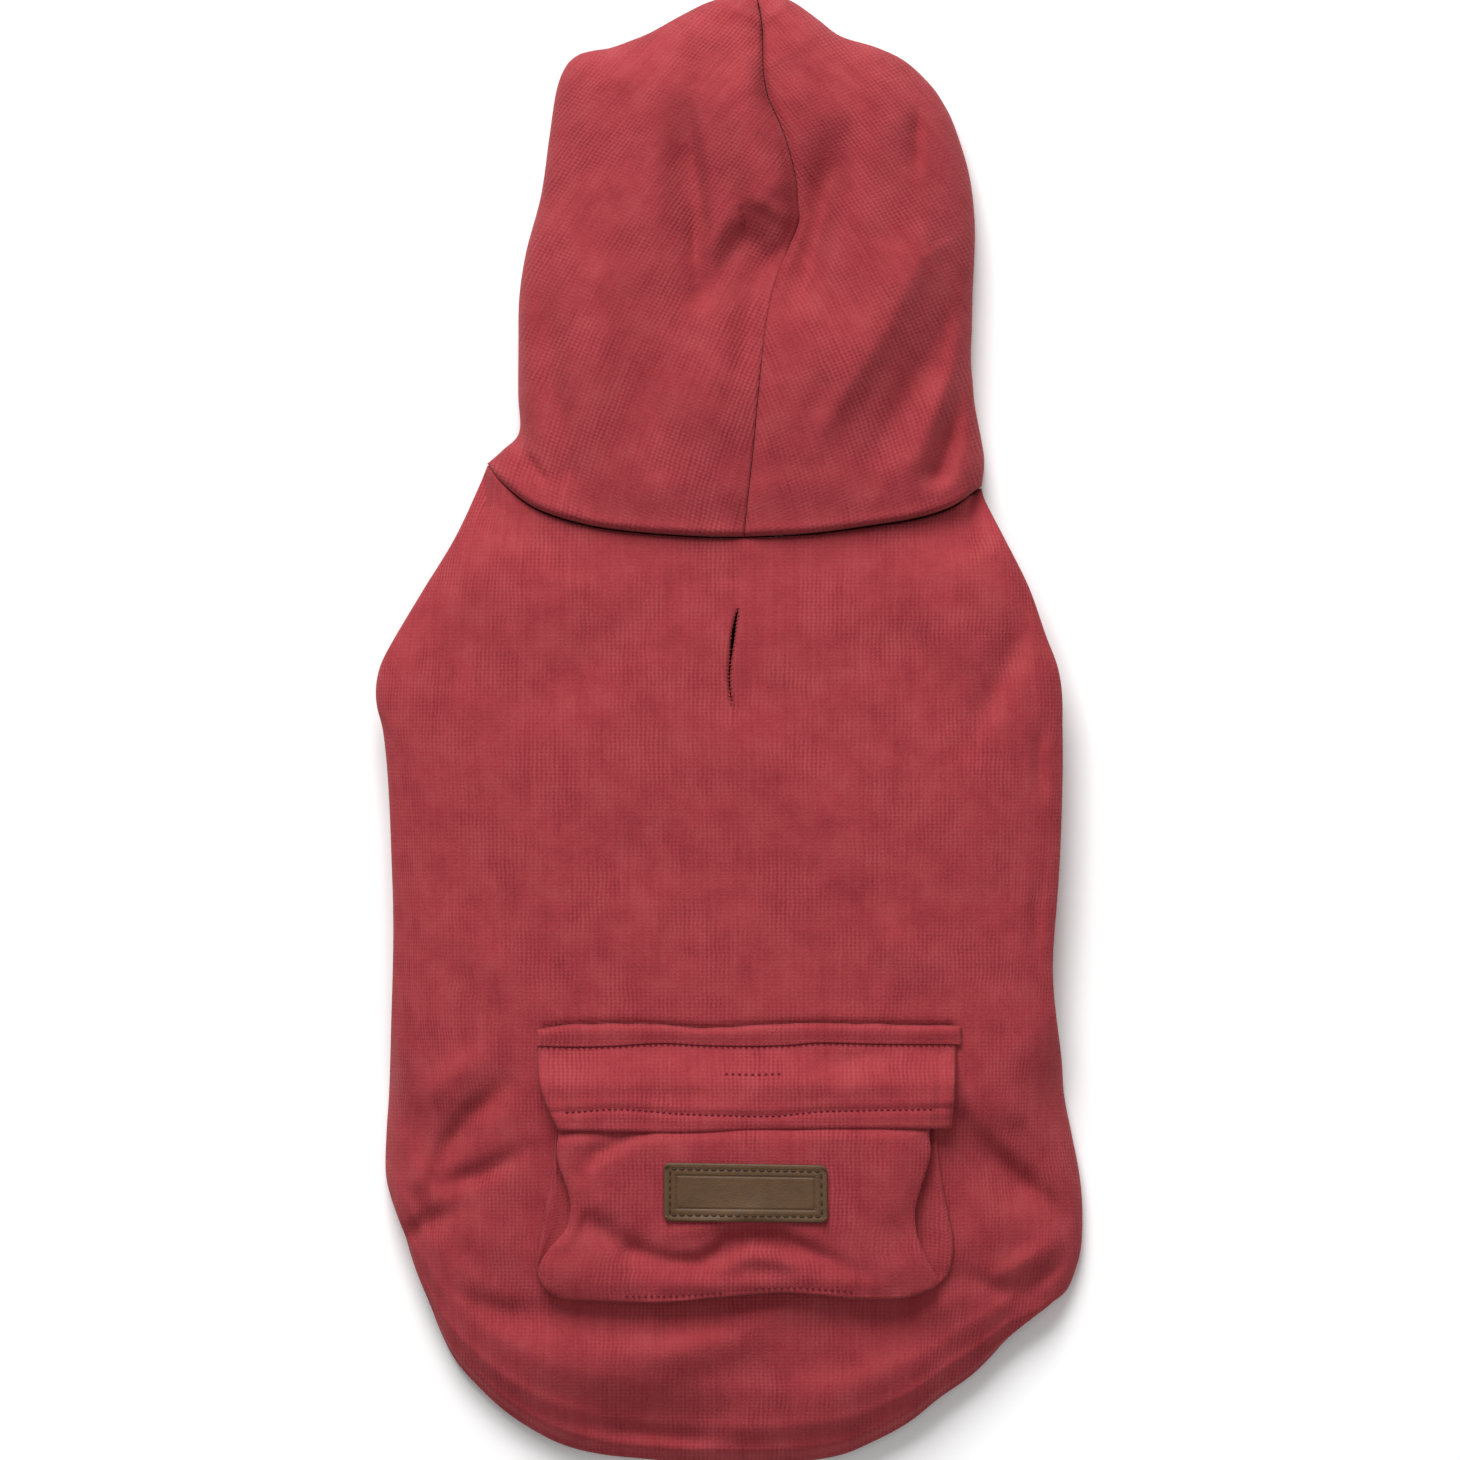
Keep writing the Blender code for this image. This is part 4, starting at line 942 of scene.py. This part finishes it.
def draw_gusset(path, rings):
    """Draw out the front's edge in rings: the bag's gusset, down to the back panel."""
    order = {spot: k + 1 for k, spot in enumerate(path)}

    def along_edge(mark, edges):
        return [e for e in edges if e.is_boundary and e.verts[0][mark] and e.verts[1][mark]
                and abs(e.verts[0][mark] - e.verts[1][mark]) == 1]

    def draw(shape, spots):
        mark = shape.verts.layers.int.new("on_edge")
        web = shape.loops.layers.uv.get("cloth")
        for corner, (row, column) in zip(shape.verts, spots):
            corner[mark] = order.get((int(row), int(column)), 0)
        edges = along_edge(mark, shape.edges)
        for ring in rings:
            drawn = bmesh.ops.extrude_edge_only(shape, edges=edges)["geom"]
            for part in drawn:
                if isinstance(part, bmesh.types.BMVert):
                    part.co = ring[part[mark] - 1]
            edges = along_edge(mark, [part for part in drawn if isinstance(part, bmesh.types.BMEdge)])
            for part in drawn:
                if isinstance(part, bmesh.types.BMFace):
                    for loop in part.loops:
                        loop[web].uv = (loop.vert.co.x / MM, (loop.vert.co.y + loop.vert.co.z) / MM)
    return draw


def make_bag(trees, look):
    places = bag_places(trees)
    last_row = len(places) - 1
    last_column = places.shape[1] - 1
    path = [(row, 0) for row in range(last_row + 1)]
    path += [(last_row, column) for column in range(1, last_column)]
    path += [(row, last_column) for row in range(last_row, -1, -1)]
    points = np.array([places[spot] for spot in path])
    base = gusset_base(points)
    turns = bag_middle - points[:, :2]
    turns /= np.linalg.norm(turns, axis=1)[:, None]
    rings = []
    for toward_base, tuck, up in gusset_rings:
        place = points[:, :2] + (base - points[:, :2]) * toward_base + turns * tuck * MM
        ground = height_on(trees, place[:, 0], place[:, 1]) + lay_gap
        rings.append(np.column_stack([place, ground + (points[:, 2] - ground) * up]))
    lines = cloth_lines(places, last_column // 2)
    made = make_panel("pocket_bag_cloth", places, lines, pocket_cloth, 1, draw_gusset(path, rings))
    dress(made, look, "red_knit", "pocket_bag")
    return places


def rounded_edge(inside, depth, width):
    """How far an edge is rounded down, at a distance inside it, all in mm."""
    return depth * MM * (1 - np.sqrt(1 - 0.95 * np.clip(1 - inside / width, 0, 1) ** 2))


def flap_places(trees):
    wide, tall = 180, 52
    across = np.linspace(0, 1, wide + 1)
    along = np.linspace(0, 1, tall + 1)
    start = flap_left[0][0]
    head = (start + (flap_right[0][0] - start) * across) * MM
    head = np.stack([head, line_at(strip_foot, head)], axis=1)
    flat = cloth_between(line_through(head, across), smooth_curve(flap_foot), smooth_curve(flap_left),
                         smooth_curve(flap_right), across, along)
    x = flat[:, :, 0]
    y = flat[:, :, 1]
    v = along[:, None]
    u = across[None, :]
    lift = pocket_cloth + lay_gap + bag_puff * 0.60 * smooth_step(0.0, 0.5, v)
    folds = fold_height(flap_folds, x, y) + rumpled(flap_rumples, x, y)
    high = height_on(trees, x, y) + lift + folds * smooth_step(0.0, 0.15, v)
    hem = np.abs(y - line_at(flap_hem, x)) / MM
    high = high - 0.4 * MM * near(hem, 0.9) + 0.25 * MM * near(hem - 2.6, 1.6)
    high = high - rounded_edge((1 - v) * 32, 1.2, 2.0) - rounded_edge(np.minimum(u, 1 - u) * 155, 1.0, 1.8)
    return np.dstack([x, y, high])


def make_flap(trees, look):
    places = flap_places(trees)
    made = make_panel("pocket_flap_cloth", places, cloth_lines(places, places.shape[1] // 2), pocket_cloth)
    dress(made, look, "red_knit", "pocket_flap")
    return places


def make_strip(trees, look):
    """The raised fold that the flap hangs from: crisp along its top, sloping down to the stitched row."""
    around, long = 18, 240
    share = np.linspace(0, 1, long + 1)
    x = pocket_left + (pocket_right - pocket_left) * share
    head = line_at(strip_top, x) + 0.25 * MM * rumple(x, 0 * x, 6 * MM, 61)
    foot = line_at(strip_foot, x)
    ground = height_on(trees, x, foot - 1.0 * MM) + lay_gap + pocket_cloth
    ends = np.clip(np.minimum(share, 1 - share) * 160 / 2.5, 0, 1) ** 0.5
    rows = []
    for k in range(around + 1):
        down = k / around
        arch = min(1.0, down / 0.28) ** 0.5 * (1 - 0.65 * float(smooth_step(0.35, 1.0, down)))
        pucker = 1 - 0.12 * down * np.cos(2 * math.pi * x / stitch_pitch)
        tuck = 1.6 * MM * (1 - min(1.0, down / 0.12))
        up = (strip_height - pocket_cloth) * arch * pucker * ends - tuck
        rows.append(np.column_stack([x, head + (foot - head) * down, ground + up]))
    places = np.stack(rows)
    made = make_panel("flap_strip_cloth", places, cloth_lines(places, long // 2), pocket_cloth)
    dress(made, look, "red_knit", "flap_strip")
    return places


def patch_outline(u, v):
    """Level places of the patch, with rounded corners."""
    near_side = np.clip((np.abs(v) * patch_half_tall - patch_half_tall + patch_round) / patch_round, 0, 1)
    near_end = np.clip((np.abs(u) * patch_half_wide - patch_half_wide + patch_round) / patch_round, 0, 1)
    pull_u = patch_round * (1 - np.sqrt(1 - near_side**2)) / patch_half_wide
    pull_v = patch_round * (1 - np.sqrt(1 - near_end**2)) / patch_half_tall
    s = (u * (1 - pull_u) + 1)[..., None] / 2
    t = (v * (1 - pull_v) + 1)[..., None] / 2
    corners = np.array(patch_corners) * MM
    return (corners[0] * (1 - s) + corners[1] * s) * (1 - t) + (corners[3] * (1 - s) + corners[2] * s) * t


def patch_dents(u, v):
    """How deep the patch is pressed, in mm: its rounded rim, the line of its border and its frame."""
    out_u = np.abs(u) * patch_half_wide - patch_half_wide
    out_v = np.abs(v) * patch_half_tall - patch_half_tall
    past_u = out_u + patch_round
    past_v = out_v + patch_round
    beyond = np.hypot(np.maximum(past_u, 0), np.maximum(past_v, 0))
    rim = patch_round - np.where((past_u > 0) & (past_v > 0), beyond, np.maximum(past_u, past_v))
    rounded = 0.45 * np.clip(1 - rim / 0.8, 0, 1) ** 2
    framed = near(np.maximum(out_u, out_v) + patch_frame, 0.32)
    return rounded + 0.22 * near(rim - patch_border, 0.6) + 0.40 * framed


def make_patch(trees, look):
    """The leather patch: rounded corners, a pressed line round it and a thinner pressed frame."""
    wide, tall = 200, 76
    u = np.linspace(-1, 1, wide + 1)[None, :]
    v = np.linspace(-1, 1, tall + 1)[:, None]
    flat = patch_outline(u, v)
    x = flat[:, :, 0]
    y = flat[:, :, 1]
    ground = height_on(trees, x, y)
    evened = ground.copy()
    for _ in range(30):
        sides = evened[:-2, 1:-1] + evened[2:, 1:-1] + evened[1:-1, :-2] + evened[1:-1, 2:]
        evened[1:-1, 1:-1] = sides / 4
    grain = 0.03 * rumple(x, y, 1.3 * MM, 51)
    lift = np.max(ground - evened) + lay_gap + leather
    places = np.dstack([x, y, evened + lift - (patch_dents(u, v) - grain) * MM])
    made = make_panel("leather_patch_hide", places, np.dstack([x, y]) / MM, leather)
    dress(made, look, "brown_leather", "leather_patch")
    return places


# Thread

def add_bead(shape, centre, turn, size):
    """A small rounded bead of thread."""
    place = Matrix.Translation(Vector(centre)) @ turn @ Matrix.Diagonal((*size, 1.0))
    bmesh.ops.create_uvsphere(shape, u_segments=8, v_segments=6, radius=1.0, matrix=place)


def stitch_rows(name, rows, trees, look, slot="red_knit", thick=thread):
    """Short stitches along lines on the cloth, each sunk a little into it."""
    shape = bmesh.new()
    for path, pitch, length in rows:
        points = np.array(path, float) * MM
        along = lengths_along(points)
        count = max(int(along[-1] / pitch), 1)
        for k in range(count):
            middle = (k + 0.5) * along[-1] / count
            ends = []
            for off in (-length / 2, length / 2):
                place = np.array([np.interp(middle + off, along, points[:, n]) for n in range(2)])
                ends.append(Vector((*place, float(height_on(trees, place[:1], place[1:])[0]))))
            centre = (ends[0] + ends[1]) / 2 + Vector((0, 0, thick * 0.2))
            run = ends[1] - ends[0]
            turn = run.to_track_quat("X", "Z").to_matrix().to_4x4()
            half_long = max(run.length / 2 + thick * 0.2, thick / 2)
            add_bead(shape, centre, turn, (half_long, thick / 2, thick / 2))
    return dress(finished(shape, name), look, slot)


def make_stitches(strip_tree, bag_tree, flap_tree, patch_tree, look, waxed):
    strip_x = np.linspace(-72.0, 84.0, 80)
    strip_row = list(zip(strip_x, line_at(strip_foot, strip_x * MM) / MM + 0.25))
    stitch_rows("strip_stitches", [(strip_row, stitch_pitch, stitch_length)], [strip_tree, flap_tree], look)
    hem_x = np.linspace(-62.5, 76.5, 80)
    hem_row = list(zip(hem_x, line_at(flap_hem, hem_x * MM) / MM))
    rows = [(hem_row, stitch_pitch, stitch_length), (flap_middle_row, stitch_pitch, stitch_length)]
    stitch_rows("flap_stitches", rows, [flap_tree], look)
    rows = [(bag_base_row, stitch_pitch, stitch_length), (bag_faint_row, stitch_pitch, 0.6 * MM)]
    stitch_rows("bag_stitches", rows, [bag_tree], look)
    sides = [(patch_rows[k : k + 2], patch_pitch, patch_stitch) for k in range(4)]
    stitch_rows("patch_stitches", sides, [patch_tree], waxed, "brown_leather", waxed_thread)


def make_slit_thread(places, column, rows, look):
    """The overlocked lips of the slit, with a few stitches across its lower end."""
    shape = bmesh.new()
    first, last = rows
    count = 34
    beads = []
    for k in range(1, count):
        base = places[int(first + (last - first) * k / count), column]
        opened = slit_gap(k / count) / 2
        for side in (-1, 1):
            reach = (0.8 + 0.3 * math.sin(k * 2.4 + side)) * MM
            off = side * (opened + reach / 2 - (0.25 + 0.15 * math.sin(k * 1.3)) * MM)
            beads.append((base + np.array([off, 0, 0.30 * MM]), side * 0.3 * math.sin(k * 1.7), reach / 2))
    for k in range(3):
        base = places[last, column] + np.array([0, -0.4 * MM * k, 0.15 * MM])
        beads.append((base, 0.1 * (k - 1), 1.1 * MM))
    for centre, angle, reach in beads:
        add_bead(shape, centre, Matrix.Rotation(angle, 4, "Z"), (reach, 0.22 * MM, 0.25 * MM))
    dress(finished(shape, "slit_overlock"), look, "red_knit")


# Materials

def linear(colour):
    """An sRGB hex colour as linear red, green, blue and alpha."""
    channels = [int(colour[k : k + 2], 16) / 255 for k in (1, 3, 5)]
    return tuple(c / 12.92 if c <= 0.04045 else ((c + 0.055) / 1.055) ** 2.4 for c in channels) + (1.0,)


def feed(tree, node, **links):
    """Give a node's sockets a value, another socket or a node's first output. A key is a socket's
    name, or n and its number."""
    for key, value in links.items():
        numbered = key[0] == "n" and key[1:].isdigit()
        socket = node.inputs[int(key[1:]) if numbered else key.replace("_", " ")]
        if isinstance(value, bpy.types.Node):
            value = value.outputs[0]
        if isinstance(value, bpy.types.NodeSocket):
            tree.links.new(value, socket)
        else:
            socket.default_value = value


def add(tree, kind, settings=None, **links):
    """Add a shader node with its settings and what goes into it."""
    node = tree.nodes.new("ShaderNode" + kind)
    for key, value in (settings or {}).items():
        setattr(node, key, value)
    feed(tree, node, **links)
    return node


def new_look(name):
    """A new material, its nodes and its shader."""
    look = bpy.data.materials.new(name)
    look.use_nodes = True
    return look, look.node_tree, look.node_tree.nodes["Principled BSDF"]


plus = {"operation": "ADD"}
minus = {"operation": "SUBTRACT"}
times = {"operation": "MULTIPLY"}
over = {"operation": "DIVIDE"}
times_plus = {"operation": "MULTIPLY_ADD"}
sine = {"operation": "SINE"}
on_cloth = {"noise_dimensions": "2D"}
colours = {"data_type": "RGBA"}


def knitted_fleece(name, base, deep, pale):
    """Brushed cotton fleece, knitted and piece-dyed: matt, in fine upright wales, with a soft
    blotchy nap and a faint bloom at grazing angles. Its pattern is in mm on the flat cloth."""
    look, tree, shader = new_look(name)
    # Wales 1.65 mm apart and courses 1.35 mm apart, a little coarser than real ones, to show
    wale = 1.65
    course = 1.35
    web = add(tree, "UVMap", {"uv_map": "cloth"})
    parts = add(tree, "SeparateXYZ", Vector=web)
    sway = add(tree, "TexNoise", on_cloth, Vector=web, Scale=0.09, Detail=3.0)
    sway = add(tree, "Math", times_plus, n0=sway, n1=1.8, n2=-0.9)
    across = add(tree, "Math", plus, n0=parts, n1=sway)
    wave = add(tree, "Math", times, n0=across, n1=2 * math.pi / wale)
    wave = add(tree, "Math", sine, n0=wave)
    chevron = add(tree, "Math", over, n0=across, n1=wale)
    chevron = add(tree, "Math", {"operation": "FRACT"}, n0=chevron)
    chevron = add(tree, "Math", minus, n0=chevron, n1=0.5)
    chevron = add(tree, "Math", {"operation": "ABSOLUTE"}, n0=chevron)
    loops = add(tree, "Math", times_plus, n0=chevron, n1=course * 0.4, n2=parts.outputs[1])
    loops = add(tree, "Math", times, n0=loops, n1=2 * math.pi / course)
    loops = add(tree, "Math", sine, n0=loops)
    # Nap, blotches, upright streaks, and patches where the ribs show less
    nap = add(tree, "TexNoise", on_cloth, Vector=web, Scale=1.1, Detail=5.0, Roughness=0.65)
    blotch = add(tree, "TexNoise", on_cloth, Vector=web, Scale=0.075, Detail=4.0, Roughness=0.6)
    drawn_out = add(tree, "Mapping", Vector=web, Scale=(0.55, 0.03, 1.0))
    streak = add(tree, "TexNoise", on_cloth, Vector=drawn_out, Scale=1.0, Detail=4.0)
    patchy = add(tree, "TexNoise", on_cloth, Vector=web, Scale=0.04, Detail=2.0)
    worn = add(tree, "MapRange", Value=patchy, From_Min=0.38, From_Max=0.62)
    rib_share = add(tree, "Math", times_plus, n0=worn, n1=0.85, n2=0.10)
    ribs = add(tree, "Math", times, n0=wave, n1=rib_share)
    tone = add(tree, "Math", times_plus, n0=ribs, n1=0.18, n2=0.5)
    for pattern, share in ((nap, 0.55), (blotch, 0.75), (streak, 0.30)):
        swing = add(tree, "Math", minus, n0=pattern, n1=0.5)
        tone = add(tree, "Math", times_plus, n0=swing, n1=share, n2=tone)
    worn_loops = add(tree, "Math", times, n0=loops, n1=worn)
    tone = add(tree, "Math", times_plus, n0=worn_loops, n1=0.12, n2=tone)
    low = add(tree, "MapRange", Value=tone, From_Min=0.0, From_Max=0.5)
    high = add(tree, "MapRange", Value=tone, From_Min=0.5, From_Max=1.0)
    colour = add(tree, "Mix", colours, n0=low, n6=linear(deep), n7=linear(base)).outputs[2]
    colour = add(tree, "Mix", colours, n0=high, n6=colour, n7=linear(pale)).outputs[2]
    relief = add(tree, "Math", times, n0=loops, n1=0.12)
    for pattern, share in ((ribs, 0.4), (nap, 1.5), (streak, 0.4)):
        relief = add(tree, "Math", times_plus, n0=pattern, n1=share, n2=relief)
    bump = add(tree, "Bump", Strength=0.55, Distance=0.35 * MM, Height=relief)
    feed(tree, shader, Base_Color=colour, Normal=bump, Roughness=0.95, Specular_IOR_Level=0.15,
         Sheen_Weight=0.20, Sheen_Roughness=0.4, Sheen_Tint=linear("#D98A88"))
    return look


def spun_thread(name, colour, pale):
    """Spun cotton sewing thread, darker and smoother than the cloth."""
    look, tree, shader = new_look(name)
    place = add(tree, "TexCoord").outputs["Object"]
    twist = add(tree, "TexNoise", Vector=place, Scale=2600.0, Detail=2.0)
    tint = add(tree, "Mix", colours, n0=twist, n6=linear(colour), n7=linear(pale)).outputs[2]
    feed(tree, shader, Base_Color=tint, Roughness=0.75, Specular_IOR_Level=0.25)
    return look


def tanned_leather(name, base, deep, pale):
    """Vegetable-tanned leather, pressed and waxed: fine pebbled grain, cloudy in colour."""
    look, tree, shader = new_look(name)
    web = add(tree, "UVMap", {"uv_map": "cloth"})
    grain = add(tree, "TexVoronoi", {"voronoi_dimensions": "2D"}, Vector=web, Scale=1.5, Randomness=1.0)
    cloud = add(tree, "TexNoise", on_cloth, Vector=web, Scale=0.16, Detail=5.0, Roughness=0.6)
    pores = add(tree, "TexNoise", on_cloth, Vector=web, Scale=2.5, Detail=3.0)
    colour = add(tree, "Mix", colours, n0=cloud, n6=linear(deep), n7=linear(pale)).outputs[2]
    pored = add(tree, "Math", times, n0=pores, n1=0.9)
    colour = add(tree, "Mix", colours, n0=pored, n6=colour, n7=linear(base)).outputs[2]
    relief = add(tree, "Math", times_plus, n0=pores, n1=0.8, n2=grain)
    bump = add(tree, "Bump", Strength=0.5, Distance=0.15 * MM, Height=relief)
    rough = add(tree, "MapRange", Value=cloud, To_Min=0.50, To_Max=0.68)
    feed(tree, shader, Base_Color=colour, Normal=bump, Roughness=rough)
    return look


# Table, light and camera

def make_table():
    shape = bmesh.new()
    bmesh.ops.create_grid(shape, x_segments=1, y_segments=1, size=6.0)
    table = finished(shape, "table", smooth=False, shelf=bpy.context.scene.collection)
    look, tree, shader = new_look("white_paper")
    feed(tree, shader, Base_Color=linear("#FAFAFA"), Roughness=0.9)
    table.data.materials.append(look)


def make_light(name, place, size, power):
    """A square light that looks at the middle of the coat."""
    lamp = bpy.data.lights.new(name, "AREA")
    lamp.shape = "SQUARE"
    lamp.size = size
    lamp.energy = power
    made = bpy.data.objects.new(name, lamp)
    made.location = place
    made.rotation_euler = (-Vector(place)).to_track_quat("-Z", "Y").to_euler()
    made.visible_camera = False
    bpy.context.scene.collection.objects.link(made)


def make_studio():
    world = bpy.data.worlds.new("studio")
    world.use_nodes = True
    backdrop = world.node_tree.nodes["Background"]
    backdrop.inputs["Color"].default_value = (1.0, 1.0, 1.0, 1.0)
    backdrop.inputs["Strength"].default_value = 0.38
    bpy.context.scene.world = world
    make_light("window", (-0.70, 3.00, 2.60), 2.2, 204.0)
    make_light("overhead", (0.2, -0.3, 2.4), 1.6, 6.0)
    bpy.context.scene.view_settings.view_transform = "Standard"


def make_camera():
    """Straight down on the coat, from far enough that its height doesn't spread its outline."""
    frame_side = 550.4 * MM
    outline_height = 22.0 * MM
    lens = bpy.data.cameras.new("camera")
    lens.lens = 500.0
    lens.sensor_width = 36.0
    lens.clip_end = 20.0
    made = bpy.data.objects.new("camera", lens)
    made.location = (0.0, 0.0, frame_side * lens.lens / lens.sensor_width + outline_height)
    bpy.context.scene.collection.objects.link(made)
    bpy.context.scene.camera = made


def build():
    make_camera()
    make_table()
    make_studio()
    knit = knitted_fleece("red_knitted_fleece", "#96363C", "#7A222C", "#A4484C")
    # The sewing thread's dark red is partly its own colour and partly painted shade of the needle holes and
    # dimples that its stitches sit in
    yarn = spun_thread("red_thread", "#5E1420", "#7E2630")
    overlock = spun_thread("overlock_thread", "#7A222C", "#96363C")
    waxed = spun_thread("brown_thread", "#33241A", "#4A3423")
    hide = tanned_leather("brown_leather", "#54381C", "#3E2710", "#634321")
    back, slit_column, slit_rows = make_back(knit)
    make_belly(back, knit)
    hood_half("hood_left", left_hood_edge, left_hood_folds, -1, knit)
    hood_half("hood_right", right_hood_edge, right_hood_folds, 1, knit)
    make_sleeves(knit)
    back_tree = surface_of(back)
    bag_tree = surface_of(make_bag([back_tree], knit))
    flap_tree = surface_of(make_flap([back_tree], knit))
    strip_tree = surface_of(make_strip([back_tree], knit))
    patch_tree = surface_of(make_patch([bag_tree], hide))
    make_stitches(strip_tree, bag_tree, flap_tree, patch_tree, yarn, waxed)
    make_slit_thread(back, slit_column, slit_rows, overlock)


build()
